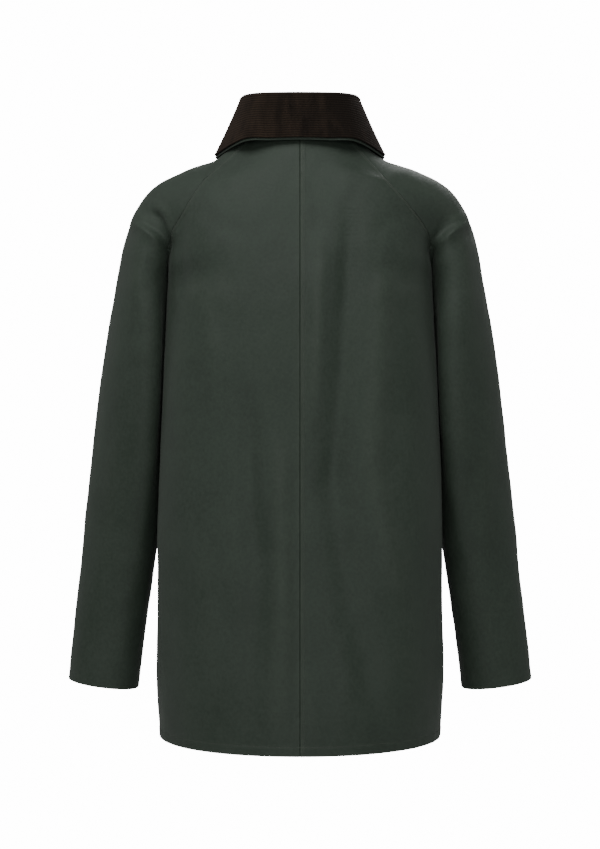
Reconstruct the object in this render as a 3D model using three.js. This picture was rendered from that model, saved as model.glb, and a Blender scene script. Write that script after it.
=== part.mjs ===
// A hip-length waxed cotton jacket with raglan sleeves and a corduroy collar, filled out as worn.
// Millimetres, +Z up. The back faces -Y, the wearer's left side is at -X.
// The origin is the middle of the neck opening, level with the neck seam at centre back.
import * as THREE from 'three';

// Driving sizes
const CLOTH = 2.0; // waxed cotton with its lining
const SEAM_GAP = 0.3; // between two pieces that are sewn together
const OVERLAP = 30; // how far each front runs past the centre front
const OVERLAP_STEP = 2.9; // depth of that step, a wall and its clearance
const OVERLAP_MARGIN = 12; // the step is over this far outside the upper front's edge
const OVERLAP_BLEND = 40; // width in which the under front steps in beneath the upper one
const COLUMNS_BODY = 10; // across a quarter of the body
const COLUMNS_SLEEVE = 7; // across half a sleeve
const ROWS_PER_SECTION = 2;
const SEAM_ROUNDING = 0.8; // how fast the back falls away forwards across the raglan seam
const ARMPIT_SECTION = 6; // the section at which the armhole ends

const SLEEVE_TILT = 0.06; // the sleeves hang slightly forwards, square to the arm

const WALE_HEIGHT = 0.5; // the corduroy's ribs, about 3.15 mm apart
const STAND_WALES = 15;
const ROLL_WALES = 4;
const LEAF_WALES = 18;
const CORDUROY = 1.6; // wall of the top collar under its ribs
const UNDER_COLLAR = 1.2; // wall of the under collar
const FOLD_RADIUS = 4.5; // outside of the collar's roll
const LAYER_GAP = 0.7; // between the corduroy and the under collar
const COLLAR_WALL = CORDUROY + LAYER_GAP + UNDER_COLLAR;
const COLLAR_LIFT = 0.5; // clearance of the collar over the neck seam
const COLLAR_EDGE = 2.5; // under collar showing below the leaf
const COLLAR_COLUMNS = 13; // from centre back to one end

const PLAIN_STEPS = [3, 6, 4]; // of an unribbed collar face, up the stand, over and down
const UNDER_STEPS = [3, 6, 5];

const STUD_RADIUS = 7.5;
const STUD_HEIGHT = 2.6;
const STUD_SIDES = 14;
const STUD_PROFILE = [[0, 0], [0.94, 0], [1, 0.35], [0.8, 0.85], [0, 1]];
const STUD_CLEARANCE = 0.6; // the front is slightly rounded under each stud
const STUD_HEIGHTS = [-112, -228, -344, -460, -576, -692];

const GREEN = 0x3a423a;
const BROWN = 0x1c1611;
const BRASS = 0x6b5a3a;

// A table is a heading with the names of its columns, and one row of numbers for each section
function table(heading, rows) {
  const names = heading.trim().split(/\s+/);
  return rows.map((row) => Object.fromEntries(names.map((name, k) => [name, row[k]])));
}

// Back of the body from the neck to the hem: the centre back line, then the raglan seam on each
// side down to the armpit and the side seam below it. turn and lift say which way the cloth
// faces at that seam, and full and reach how square the section is.
const BACK = table('midY midZ seamLeft seamRight seamY seamZ turn lift full reach', [
  [-66, 0, 60, 60, -49, 0, 30, 44, 0.40, 0.34],
  [-78, -25, 106, 96, -54, -43, 34, 40, 0.40, 0.34],
  [-87, -51, 123, 109.5, -66, -61, 32, 30, 0.42, 0.34],
  [-98, -85, 141, 135.5, -70, -90, 38, 18, 0.46, 0.35],
  [-106, -118, 157, 156.5, -54, -119, 60, 9, 0.52, 0.37],
  [-113, -150, 163, 163, -24, -151, 86, 3, 0.60, 0.42],
  [-119, -186, 164, 164, 8, -186, 94, 0, 0.66, 0.46],
  [-124, -250, 166, 166, 8, -250, 97, 0, 0.70, 0.50],
  [-127, -320, 168.2, 168.2, 9, -319, 98, 0, 0.72, 0.51],
  [-130, -400, 171.0, 171.0, 10, -399, 98, 0, 0.72, 0.51],
  [-136, -490, 174.4, 174.4, 11, -487, 97, 0, 0.72, 0.50],
  [-142, -580, 176, 176, 12, -575, 95, 0, 0.69, 0.47],
  [-147, -665, 178, 178, 12, -659, 95, 0, 0.66, 0.44],
  [-150, -748.5, 174.2, 174.2, 12, -739.5, 95, 0, 0.62, 0.39],
]);

// Fronts of the body, section by section with the back
const FRONT = table('midY midZ seamLeft seamRight seamY seamZ turn lift full reach', [
  [60, -62, 57, 57, 38, -14, 30, 42, 0.45, 0.40],
  [73, -82, 88, 88, 57, -40, 28, 36, 0.42, 0.36],
  [83, -102, 108, 108, 66, -62, 30, 27, 0.44, 0.35],
  [94, -126, 128, 128, 71, -92, 36, 16, 0.46, 0.35],
  [102, -146, 149, 149, 64, -124, 56, 8, 0.50, 0.36],
  [108, -166, 161, 161, 40, -156, 78, 3, 0.54, 0.38],
  [113, -186, 164, 164, 8, -186, 86, 0, 0.58, 0.39],
  [123, -250, 166, 166, 8, -250, 82, 0, 0.60, 0.40],
  [127, -320, 168.2, 168.2, 9, -319, 81, 0, 0.62, 0.40],
  [129, -400, 171.0, 171.0, 10, -399, 81, 0, 0.62, 0.40],
  [133, -488, 174.4, 174.4, 11, -487, 82, 0, 0.62, 0.40],
  [139, -578, 176, 176, 12, -575, 84, 0, 0.62, 0.40],
  [143, -663, 178, 178, 12, -659, 85, 0, 0.62, 0.40],
  [146, -746, 174.2, 174.2, 12, -739.5, 85, 0, 0.62, 0.40],
]);

// Sleeves from the neck to the cuff: the overarm seam, the inner seam below the armpit, how far
// the cloth leans to the body beside it, and for the back and the front half the pull of its
// curve at the inner and the overarm seam and how far it tucks in under the arm.
const SLEEVE = table(
  'topX topY topZ innerX innerY innerZ lean backPull backTop backTuck frontPull frontTop frontTuck',
  [
    [77, -4, -4, 0, 0, 0, 0, 16, 17, 0, 15, 15, 0],
    [104.5, -4, -24.8, 0, 0, 0, 0, 22, 20, 0, 22, 24, 0],
    [140, -2, -37.3, 0, 0, 0, 0, 29, 33, 0, 26, 30, 0],
    [184, 5, -58.6, 0, 0, 0, 0, 34, 44, 0.06, 30, 38, 0.1],
    [208, 10, -91, 0, 0, 0, 0, 36, 58, 0.36, 32, 50, 0.4],
    [222, 14, -130, 0, 0, 0, 0, 54, 74, 0.78, 50, 68, 0.8],
    [232.5, 18, -185, 164, 8, -186, 0, 94, 80, 1, 82, 84, 1],
    [243.4, 21, -249, 167.2, 17, -251, 0.04, 114, 72, 1, 94, 88, 1],
    [253.8, 25, -321, 169.8, 23, -325, 0.08, 114, 66, 1, 94, 84, 1],
    [262.6, 28, -398, 172.8, 27, -403, 0.08, 104, 60, 1, 88, 78, 1],
    [271.2, 32, -473, 176.4, 31, -480, 0.06, 92, 56, 1, 78, 71, 1],
    [277.6, 35, -538, 185.6, 34, -547, 0.04, 80, 56, 1, 72, 67, 1],
    [285.8, 38, -605, 195.3, 38, -616, 0.03, 70, 57, 1, 65, 63, 1],
    [293.0, 42, -674.8, 204.8, 42, -686.5, 0.02, 59, 59, 1, 59, 59, 1],
  ],
);

// The largest folds that show, each along a straight line on the back view.
// A negative height is a trough.
const FOLDS = table('x1 z1 x2 z2 wide height', [
  [62, -100, 48, -235, 26, -3.2],
  [46, -235, 28, -495, 24, -3.0],
  [20, -190, 18, -330, 14, 1.6],
  [-76, -380, -66, -475, 16, -1.8],
  [-16, -430, -10, -690, 12, 1.4],
  [-52, -560, -30, -720, 20, -1.4],
  [82, -560, 94, -720, 20, -1.8],
  [-150, -250, -142, -420, 12, 1.4],
  [118, -300, 112, -520, 18, 1.6],
  [-184, -86, -168, -150, 9, -3.0],
  [-196, -92, -176, -170, 7, 2.2],
  [184, -96, 172, -190, 12, -2.6],
  [108, -40, 158, -66, 8, 2.0],
  [-196, -230, -206, -330, 12, -2.0],
  [200, -210, 212, -330, 14, -2.2],
]);

// The collar from centre back to its end at the centre front: share of the neck seam, the top
// of the roll, and the edge of the leaf
const COLLAR = table('share foldX foldY foldZ edgeX edgeY edgeZ', [
  [0.00, 0, -66, 52.0, 0, -79, -4.3],
  [0.13, 31, -63, 52.2, 36, -77, -4.8],
  [0.27, 57, -47, 53.2, 69, -71, -5.4],
  [0.46, 71, -8, 53.6, 103, -16, -17.3],
  [0.62, 64, 30, 42.0, 105, 34, -18.4],
  [0.80, 42, 56, 10.0, 88, 84, -56.0],
  [0.97, 10, 70, -34.0, 46, 94, -102.0],
]);

// A smooth value of every column between the sections of a table. The columns in even run
// level through the first section, where the other side mirrors them.
function between(rows, place, even = []) {
  const last = rows.length - 1;
  const from = Math.min(Math.floor(place), last - 1);
  const f = place - from;
  const values = {};
  for (const name of Object.keys(rows[0])) {
    const b = rows[from][name];
    const c = rows[from + 1][name];
    const before = even.includes(name) ? c : 2 * b - c;
    const a = from > 0 ? rows[from - 1][name] : before;
    const d = from + 2 <= last ? rows[from + 2][name] : 2 * c - b;
    const slope = (c - a) / 2;
    const nextSlope = (d - b) / 2;
    const bend = 3 * (c - b) - 2 * slope - nextSlope;
    const twist = 2 * (b - c) + slope + nextSlope;
    values[name] = b + f * (slope + f * (bend + f * twist));
  }
  return values;
}

const point = (x, y, z) => new THREE.Vector3(x, y, z);

// A section of the body: below the armpit its seam columns follow the side seam alone
const SEAM_COLUMNS = ['seamLeft', 'seamRight', 'seamY', 'seamZ', 'turn', 'lift'];

function bodySection(rows, place) {
  const section = between(rows, place);
  if (place > ARMPIT_SECTION) {
    const side = between(rows.slice(ARMPIT_SECTION), place - ARMPIT_SECTION);
    for (const name of SEAM_COLUMNS) {
      section[name] = side[name];
    }
  }
  return section;
}

// Which way the cloth faces at a seam: turn goes from straight back or front to the side
function facing(turn, lift, front) {
  const a = THREE.MathUtils.degToRad(turn);
  const b = THREE.MathUtils.degToRad(lift);
  return point(Math.sin(a) * Math.cos(b), front * Math.cos(a) * Math.cos(b), Math.sin(b));
}

// The part of a direction that lies in the cloth
function inCloth(direction, normal) {
  return direction.clone().addScaledVector(normal, -direction.dot(normal)).normalize();
}

function curve(start, startPull, end, endPull, columns) {
  const startHandle = start.clone().add(startPull);
  const endHandle = end.clone().add(endPull);
  return new THREE.CubicBezierCurve3(start, startHandle, endHandle, end).getPoints(columns);
}

// A seam nearer the centre back lies further back on the same rounded form
function seamPoint(section, side) {
  const nearer = side < 0 ? 0 : section.seamLeft - section.seamRight;
  return point(section.seamLeft - nearer, section.seamY - SEAM_ROUNDING * nearer, section.seamZ);
}

// One section of the body from the centre line to the seam
function bodyRow(section, side, front) {
  const middle = point(0, section.midY, section.midZ);
  const seam = seamPoint(section, side);
  const span = seam.clone().sub(middle);
  const arrive = inCloth(span, facing(section.turn, section.lift, front));
  const pull = arrive.multiplyScalar(-section.reach * span.length());
  return curve(middle, point(section.full * seam.x, 0, 0), seam, pull, COLUMNS_BODY);
}

// One section of a sleeve half from its inner seam to the overarm seam
function sleeveRow(arm, inner, normal, front) {
  const top = point(arm.topX, arm.topY, arm.topZ);
  const tuck = front < 0 ? arm.backTuck : arm.frontTuck;
  const pull = front < 0 ? arm.backPull : arm.frontPull;
  const topPull = front < 0 ? arm.backTop : arm.frontTop;
  const across = top.clone().sub(inner);
  const leave = inCloth(across, normal).multiplyScalar(1 - tuck);
  const slant = front * SLEEVE_TILT * tuck;
  leave.add(point(-arm.lean, front * tuck, slant)).normalize().multiplyScalar(pull);
  return curve(inner, leave, top, point(0, front * topPull, slant * topPull), COLUMNS_SLEEVE);
}

function rowPlaces(sections) {
  const count = (sections.length - 1) * ROWS_PER_SECTION;
  return Array.from({ length: count + 1 }, (_, k) => k / ROWS_PER_SECTION);
}

function mirror(grid, side) {
  return grid.map((row) => row.map((p) => point(side * p.x, p.y, p.z)));
}

function bodyGrid(sections, side, front) {
  const rows = rowPlaces(sections).map((place) => {
    return bodyRow(bodySection(sections, place), side, front);
  });
  return mirror(rows, side);
}

function sleeveGrid(sections, side, front) {
  const rows = rowPlaces(SLEEVE).map((place) => {
    const arm = between(SLEEVE, place);
    if (place >= ARMPIT_SECTION) {
      const under = between(SLEEVE.slice(ARMPIT_SECTION), place - ARMPIT_SECTION);
      const inner = point(under.innerX, under.innerY, under.innerZ);
      return sleeveRow(arm, inner, point(1, 0, 0), front);
    }
    const section = between(sections, place);
    const normal = facing(section.turn, section.lift, front);
    return sleeveRow(arm, seamPoint(section, side), normal, front);
  });
  return mirror(rows, side);
}

function unit(vector) {
  return vector.clone().normalize();
}

// Outward normals of a grid. hand is 1 or -1, for grids that run the other way round.
function gridNormals(grid, hand) {
  return grid.map((row, i) => row.map((p, j) => {
    const down = grid[Math.min(i + 1, grid.length - 1)][j].clone().sub(grid[Math.max(i - 1, 0)][j]);
    const across = row[Math.min(j + 1, row.length - 1)].clone().sub(row[Math.max(j - 1, 0)]);
    return down.cross(across).normalize().multiplyScalar(hand);
  }));
}

function foldHeight(p) {
  return FOLDS.reduce((sum, fold) => {
    const dx = fold.x2 - fold.x1;
    const dz = fold.z2 - fold.z1;
    const share = ((p.x - fold.x1) * dx + (p.z - fold.z1) * dz) / (dx * dx + dz * dz);
    const f = THREE.MathUtils.clamp(share, 0, 1);
    const away = Math.hypot(p.x - fold.x1 - f * dx, p.z - fold.z1 - f * dz);
    return sum + fold.height * Math.exp(-((away / fold.wide) ** 2));
  }, 0);
}

// A panel holds the outer points of its cloth, the way out and the way in at each point
function makePanel(grid, hand, folded) {
  let outer = grid;
  if (folded) {
    const out = gridNormals(grid, hand);
    outer = grid.map((row, i) => row.map((p, j) => (
      p.clone().addScaledVector(out[i][j], foldHeight(p)))));
  }
  const normals = gridNormals(outer, hand);
  const inward = normals.map((row) => row.map((n) => n.clone().negate()));
  return { outer, normals, inward };
}

// Direction in the cloth from a panel towards its edge in column j
function towardsEdge(panel, i, j) {
  const row = panel.outer[i];
  const neighbour = j === 0 ? row[1] : row[j - 1];
  return unit(row[j].clone().sub(neighbour));
}

// Two panels sewn along a column: both walls end on one mitre plane, half a gap to each side
function sew(one, columnOne, two, columnTwo, firstRow, lastRow) {
  const moves = [];
  for (let i = firstRow; i <= lastRow; i += 1) {
    const ends = [[one, columnOne], [two, columnTwo]];
    const inward = point(0, 0, 0);
    const meet = point(0, 0, 0);
    for (const [panel, j] of ends) {
      inward.sub(panel.normals[i][j]);
      meet.add(towardsEdge(panel, i, j));
    }
    if (inward.dot(meet) < 0) {
      meet.negate();
    }
    inward.add(meet).normalize();
    const seam = one.outer.map((row) => row[columnOne]);
    const below = seam[Math.min(i + 1, lastRow)];
    const above = seam[Math.max(i - 1, firstRow)];
    const mitre = below.clone().sub(above).cross(inward).normalize();
    for (const [panel, j] of ends) {
      const own = towardsEdge(panel, i, j).add(panel.normals[i][j]).negate();
      const sideways = Math.sign(mitre.dot(own)) * SEAM_GAP / 2;
      moves.push([panel, i, j, inward.clone(), mitre.clone().multiplyScalar(sideways)]);
    }
  }
  for (const [panel, i, j, inward, move] of moves) {
    panel.inward[i][j] = inward;
    panel.outer[i][j] = panel.outer[i][j].clone().add(move);
  }
}

// At the armpit four panels meet: their walls point up and stand half a gap apart each way
function sewArmpit(panels, row, side) {
  for (const [panel, column, out, front] of panels) {
    const apart = point(side * out, front, 0).multiplyScalar(SEAM_GAP / 2);
    panel.outer[row][column] = panel.outer[row][column].clone().add(apart);
    panel.inward[row][column] = point(0, 0, 1);
  }
}

// Triangles between two chains of point numbers that start and end side by side
function zip(chainA, chainB, triangles) {
  let a = 0;
  let b = 0;
  while (a < chainA.length - 1 || b < chainB.length - 1) {
    const nextA = (a + 1) / (chainA.length - 1);
    const nextB = (b + 1) / (chainB.length - 1);
    if (b === chainB.length - 1 || (a < chainA.length - 1 && nextA <= nextB)) {
      triangles.push(chainA[a], chainA[a + 1], chainB[b]);
      a += 1;
    } else {
      triangles.push(chainA[a], chainB[b + 1], chainB[b]);
      b += 1;
    }
  }
}

// A closed wall between an outer and an inner grid with the same number of columns
function wallBetween(outer, inner) {
  const positions = [];
  const number = (grid) => grid.map((row) => row.map((p) => positions.push(p.x, p.y, p.z) / 3 - 1));
  const o = number(outer);
  const n = number(inner);
  const triangles = [];
  for (const [grid, flip] of [[o, false], [n, true]]) {
    for (let i = 0; i < grid.length - 1; i += 1) {
      for (let j = 0; j < grid[0].length - 1; j += 1) {
        const [a, b, c, d] = [grid[i][j], grid[i + 1][j], grid[i + 1][j + 1], grid[i][j + 1]];
        triangles.push(...(flip ? [a, c, b, a, d, c] : [a, b, c, a, c, d]));
      }
    }
  }
  const columnOf = (grid, j) => grid.map((row) => row[j]);
  const lastColumn = o[0].length - 1;
  zip(columnOf(n, 0), columnOf(o, 0), triangles);
  zip(columnOf(o, lastColumn), columnOf(n, lastColumn), triangles);
  zip(o[0], n[0], triangles);
  zip(n[n.length - 1], o[o.length - 1], triangles);
  return facingOut(positions, triangles);
}

function facingOut(positions, triangles) {
  const corner = (k) => point(...positions.slice(3 * triangles[k], 3 * triangles[k] + 3));
  let volume = 0;
  for (let k = 0; k < triangles.length; k += 3) {
    volume += corner(k).dot(corner(k + 1).cross(corner(k + 2)));
  }
  const geometry = new THREE.BufferGeometry();
  geometry.setAttribute('position', new THREE.Float32BufferAttribute(positions, 3));
  geometry.setIndex(volume < 0 ? triangles.reverse() : triangles);
  return geometry;
}

function innerGrid(panel, thickness) {
  return panel.outer.map((row, i) => row.map((p, j) => (
    p.clone().addScaledVector(panel.inward[i][j], thickness))));
}

const jacket = new THREE.Group();

function addPiece(name, geometry, color, roughness, metalness) {
  const mesh = new THREE.Mesh(
    geometry,
    new THREE.MeshStandardMaterial({ color, roughness, metalness }),
  );
  mesh.name = name;
  jacket.add(mesh);
  return mesh;
}

const BACKWARD = -1;
const FORWARD = 1;
const LEFT = -1;
const RIGHT = 1;

// The panels of one side, sewn to each other
function makeSide(side) {
  const panels = {
    back: makePanel(bodyGrid(BACK, side, BACKWARD), side, true),
    front: makePanel(bodyGrid(FRONT, side, FORWARD), -side, false),
    sleeveBack: makePanel(sleeveGrid(BACK, side, BACKWARD), side, true),
    sleeveFront: makePanel(sleeveGrid(FRONT, side, FORWARD), -side, false),
  };
  const armpit = ARMPIT_SECTION * ROWS_PER_SECTION;
  const hem = panels.back.outer.length - 1;
  const cuff = panels.sleeveBack.outer.length - 1;
  sew(panels.back, COLUMNS_BODY, panels.sleeveBack, 0, 0, armpit - 1);
  sew(panels.front, COLUMNS_BODY, panels.sleeveFront, 0, 0, armpit - 1);
  sew(panels.back, COLUMNS_BODY, panels.front, COLUMNS_BODY, armpit + 1, hem);
  sew(panels.sleeveBack, 0, panels.sleeveFront, 0, armpit + 1, cuff);
  sew(panels.sleeveBack, COLUMNS_SLEEVE, panels.sleeveFront, COLUMNS_SLEEVE, 0, cuff);
  sewArmpit([
    [panels.back, COLUMNS_BODY, -1, BACKWARD],
    [panels.front, COLUMNS_BODY, -1, FORWARD],
    [panels.sleeveBack, 0, 1, BACKWARD],
    [panels.sleeveFront, 0, 1, FORWARD],
  ], armpit, side);
  return panels;
}

const left = makeSide(LEFT);
const right = makeSide(RIGHT);
const bottomRow = left.back.outer.length - 1;
sew(left.back, 0, right.back, 0, 0, bottomRow);

// Each front runs on past the centre front, on the other side's form. The right one steps in by
// its own thickness and lies beneath the left one.
function addOverlap(panel, other, under) {
  const width = OVERLAP;
  const columns = 3;
  panel.outer.forEach((row, i) => {
    const sideways = Math.sign(other.outer[i][2].x);
    const next = other.outer[i];
    for (let k = 1; k <= columns; k += 1) {
      const x = sideways * width * k / columns;
      const j = next.findIndex((p) => Math.abs(p.x) > Math.abs(x));
      const f = (x - next[j - 1].x) / (next[j].x - next[j - 1].x);
      row.unshift(next[j - 1].clone().lerp(next[j], f));
      panel.inward[i].unshift(other.inward[i][j - 1].clone().lerp(other.inward[i][j], f).normalize());
    }
    if (under) {
      row.forEach((p, j) => {
        const inside = THREE.MathUtils.smoothstep(
          sideways * p.x, -width - OVERLAP_BLEND, -width - OVERLAP_MARGIN);
        p.addScaledVector(panel.inward[i][j], inside * OVERLAP_STEP);
      });
    }
  });
}

const plainLeft = {
  outer: left.front.outer.map((row) => row.map((p) => p.clone())),
  inward: left.front.inward.map((row) => row.map((p) => p.clone())),
};
addOverlap(left.front, right.front, false);
addOverlap(right.front, plainLeft, true);

for (const [name, panels] of [['left', left], ['right', right]]) {
  const pieces = [
    [`back_${name}`, panels.back],
    [`front_${name}`, panels.front],
    [`sleeve_back_${name}`, panels.sleeveBack],
    [`sleeve_front_${name}`, panels.sleeveFront],
  ];
  for (const [piece, panel] of pieces) {
    addPiece(piece, wallBetween(panel.outer, innerGrid(panel, CLOTH)), GREEN, 0.55, 0);
  }
}

// The neck seam from centre back to centre front, over the shoulder
const neckPoints = [
  ...bodyRow(BACK[0], RIGHT, BACKWARD),
  ...sleeveGrid(BACK, RIGHT, BACKWARD)[0].slice(1),
  ...sleeveGrid(FRONT, RIGHT, FORWARD)[0].slice(0, -1).reverse(),
  ...bodyRow(FRONT[0], RIGHT, FORWARD).slice(0, -1).reverse(),
];
const neckSeam = new THREE.CatmullRomCurve3(neckPoints);

// One section of the collar: up the inside of the stand, over the roll and down the leaf.
// depth is how far below the corduroy's face it lies, extra lengthens the leaf.
function collarSection(place, depth, extra, [standSteps, rollSteps, leafSteps]) {
  const section = between(COLLAR, place, ['foldY', 'foldZ', 'edgeY', 'edgeZ']);
  const seam = neckSeam.getPointAt(THREE.MathUtils.clamp(section.share, 0, 1));
  const fold = point(section.foldX, section.foldY, section.foldZ);
  const edge = point(section.edgeX, section.edgeY, section.edgeZ);
  const out = point(edge.x - fold.x, edge.y - fold.y, 0).normalize();
  const centre = fold.clone().addScaledVector(point(0, 0, -1), FOLD_RADIUS);
  const radius = FOLD_RADIUS - depth;
  const base = seam.clone().addScaledVector(out, depth - COLLAR_WALL);
  base.z += COLLAR_LIFT;
  const standTop = centre.clone().addScaledVector(out, -radius);
  const leafTop = centre.clone().addScaledVector(out, radius);
  const leaf = edge.clone().sub(centre.clone().addScaledVector(out, FOLD_RADIUS));
  const leafNormal = out.clone().multiplyScalar(-leaf.z).add(
    point(0, 0, 1).multiplyScalar(leaf.dot(out))).normalize();
  const leafEnd = edge.clone().addScaledVector(leafNormal, -depth).addScaledVector(unit(leaf), extra);
  const points = [];
  for (let k = 0; k <= standSteps; k += 1) {
    points.push(base.clone().lerp(standTop, k / standSteps));
  }
  for (let k = 1; k < rollSteps; k += 1) {
    const turn = Math.PI * (1 - k / rollSteps);
    const across = out.clone().multiplyScalar(radius * Math.cos(turn));
    points.push(centre.clone().add(across).add(point(0, 0, radius * Math.sin(turn))));
  }
  for (let k = 0; k <= leafSteps; k += 1) {
    points.push(leafTop.clone().lerp(leafEnd, k / leafSteps));
  }
  return points;
}

// A grid of the collar: rows from the neck seam to the leaf's edge, columns end to end
function collarGrid(depth, extra, steps) {
  const ends = COLLAR.length - 1;
  const columns = [];
  for (let k = -COLLAR_COLUMNS; k <= COLLAR_COLUMNS; k += 1) {
    const place = ends * Math.abs(k) / COLLAR_COLUMNS;
    const column = collarSection(place, depth, extra, steps);
    columns.push(column.map((p) => point(Math.sign(k) * p.x, p.y, p.z)));
  }
  return columns[0].map((_, i) => columns.map((column) => column[i]));
}

// The corduroy's face: every second row is the top of a rib, the rows between its valleys
const ribRows = collarGrid(0, 0, [2 * STAND_WALES, 2 * ROLL_WALES, 2 * LEAF_WALES]);
const ribNormals = gridNormals(ribRows, 1);
const ribbed = ribRows.map((row, i) => row.map((p, j) => (
  i % 2 === 1 ? p.clone().addScaledVector(ribNormals[i][j], WALE_HEIGHT) : p)));
const ribBack = collarGrid(CORDUROY, 0, PLAIN_STEPS);
addPiece('collar_top', wallBetween(ribbed, ribBack), BROWN, 0.95, 0);

const underFace = collarGrid(CORDUROY + LAYER_GAP, COLLAR_EDGE, UNDER_STEPS);
const underBack = collarGrid(COLLAR_WALL, COLLAR_EDGE, UNDER_STEPS);
addPiece('collar_under', wallBetween(underFace, underBack), GREEN, 0.55, 0);

// Press studs down the centre front, each seated on the upper front
const studProfile = STUD_PROFILE.map(([r, h]) => (
  new THREE.Vector2(STUD_RADIUS * r, STUD_HEIGHT * h)));
STUD_HEIGHTS.forEach((z, k) => {
  const lower = plainLeft.outer.findIndex((row) => row[0].z < z);
  const [above, below] = [plainLeft.outer[lower - 1][0], plainLeft.outer[lower][0]];
  const seat = above.clone().lerp(below, (z - above.z) / (below.z - above.z));
  const slope = Math.atan2(below.y - above.y, above.z - below.z);
  const cap = new THREE.LatheGeometry(studProfile, STUD_SIDES);
  const stud = addPiece(`stud_${k + 1}`, cap, BRASS, 0.4, 1);
  stud.rotation.x = slope;
  stud.position.set(0, seat.y + STUD_CLEARANCE, seat.z);
});

export default jacket;
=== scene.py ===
# A hip-length waxed cotton jacket with raglan sleeves and a corduroy collar, filled out as worn.
# Metres. The back faces -Y, the wearer's left side is at -X, and the origin is at the neck.
import math

import bpy
import numpy as np
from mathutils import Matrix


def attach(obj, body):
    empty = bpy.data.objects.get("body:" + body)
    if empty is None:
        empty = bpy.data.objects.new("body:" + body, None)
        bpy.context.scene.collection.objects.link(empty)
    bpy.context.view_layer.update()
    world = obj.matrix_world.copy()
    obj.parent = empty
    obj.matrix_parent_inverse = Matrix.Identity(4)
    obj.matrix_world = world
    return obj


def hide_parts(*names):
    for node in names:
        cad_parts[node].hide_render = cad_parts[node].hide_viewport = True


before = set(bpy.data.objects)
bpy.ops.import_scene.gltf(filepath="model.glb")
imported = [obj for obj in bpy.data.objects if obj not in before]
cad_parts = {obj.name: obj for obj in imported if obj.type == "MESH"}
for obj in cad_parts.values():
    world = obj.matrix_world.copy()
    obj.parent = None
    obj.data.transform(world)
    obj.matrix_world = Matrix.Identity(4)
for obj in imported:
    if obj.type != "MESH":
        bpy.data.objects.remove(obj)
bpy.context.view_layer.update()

# The studio: a white room with a pale floor at the height of the wearer's feet. One large soft
# light hangs above the back, a fill stands on each side of the camera, a weak tall light beside
# each sleeve, and one more lights the front.
CAMERA_AT = (0.0, -2.9, -0.354)
LENS = 98.37
FLOOR_Z = -1.45
FLOOR_RADIUS = 3.0
ROOM_LIGHT = 0.20
ROOM_SEEN = 15.0
FLOOR_PAINT = (0.80, 0.80, 0.79, 1)
FLOOR_ROUGHNESS = 0.9

camera = bpy.data.objects.new("camera", bpy.data.cameras.new("camera"))
camera.location = CAMERA_AT
camera.rotation_euler = (math.radians(90), 0, 0)
camera.data.lens = LENS
bpy.context.scene.collection.objects.link(camera)
bpy.context.scene.camera = camera


def soft_light(name, place, aim, width, height, watts):
    lamp = bpy.data.lights.new(name, "AREA")
    lamp.shape = "RECTANGLE"
    lamp.size = width
    lamp.size_y = height
    lamp.energy = watts
    lamp_object = bpy.data.objects.new(name, lamp)
    lamp_object.location = place
    towards = np.array(aim) - np.array(place)
    level = math.hypot(towards[0], towards[1])
    lamp_object.rotation_euler = (math.atan2(level, -towards[2]), 0,
                                  math.atan2(-towards[0], towards[1]))
    bpy.context.scene.collection.objects.link(lamp_object)


soft_light("key", (-0.4, -1.3, 1.65), (0, 0, -0.05), 2.0, 1.4, 43)
soft_light("fill", (0.7, -3.0, 0.1), (0, 0, -0.30), 1.0, 1.0, 12.5)
soft_light("fill_left", (-0.7, -3.0, 0.1), (0, 0, -0.30), 1.0, 1.0, 9.5)
soft_light("side_left", (-1.9, 0.5, 0.2), (0, 0, -0.25), 0.6, 1.4, 4)
soft_light("side_right", (1.9, 0.5, 0.2), (0, 0, -0.25), 0.6, 1.4, 3)
soft_light("front", (0.6, 2.2, 1.3), (0, 0, -0.35), 1.6, 1.2, 24)


def node(tree, kind, **settings):
    made = tree.nodes.new(kind)
    for name, value in settings.items():
        setattr(made, name, value)
    return made


room = bpy.data.worlds.new("white_room")
room.use_nodes = True
room_tree = room.node_tree
room_tree.nodes.clear()
room_lit, room_seen = (node(room_tree, "ShaderNodeBackground") for _ in range(2))
for background, strength in ((room_lit, ROOM_LIGHT), (room_seen, ROOM_SEEN)):
    background.inputs["Color"].default_value = (1, 1, 1, 1)
    background.inputs["Strength"].default_value = strength
room_ray = node(room_tree, "ShaderNodeLightPath")
room_mix = node(room_tree, "ShaderNodeMixShader")
room_out = node(room_tree, "ShaderNodeOutputWorld")
room_tree.links.new(room_ray.outputs["Is Camera Ray"], room_mix.inputs["Fac"])
room_tree.links.new(room_lit.outputs[0], room_mix.inputs[1])
room_tree.links.new(room_seen.outputs[0], room_mix.inputs[2])
room_tree.links.new(room_mix.outputs[0], room_out.inputs["Surface"])
bpy.context.scene.world = room

bpy.ops.mesh.primitive_circle_add(
    vertices=96, radius=FLOOR_RADIUS, fill_type="NGON", location=(0, 0, FLOOR_Z))
floor = bpy.context.object
floor.name = "floor"
floor_paint = bpy.data.materials.new("pale_floor")
floor_paint.use_nodes = True
floor_shader = floor_paint.node_tree.nodes["Principled BSDF"]
floor_shader.inputs["Base Color"].default_value = FLOOR_PAINT
floor_shader.inputs["Roughness"].default_value = FLOOR_ROUGHNESS
floor.data.materials.append(floor_paint)

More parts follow.
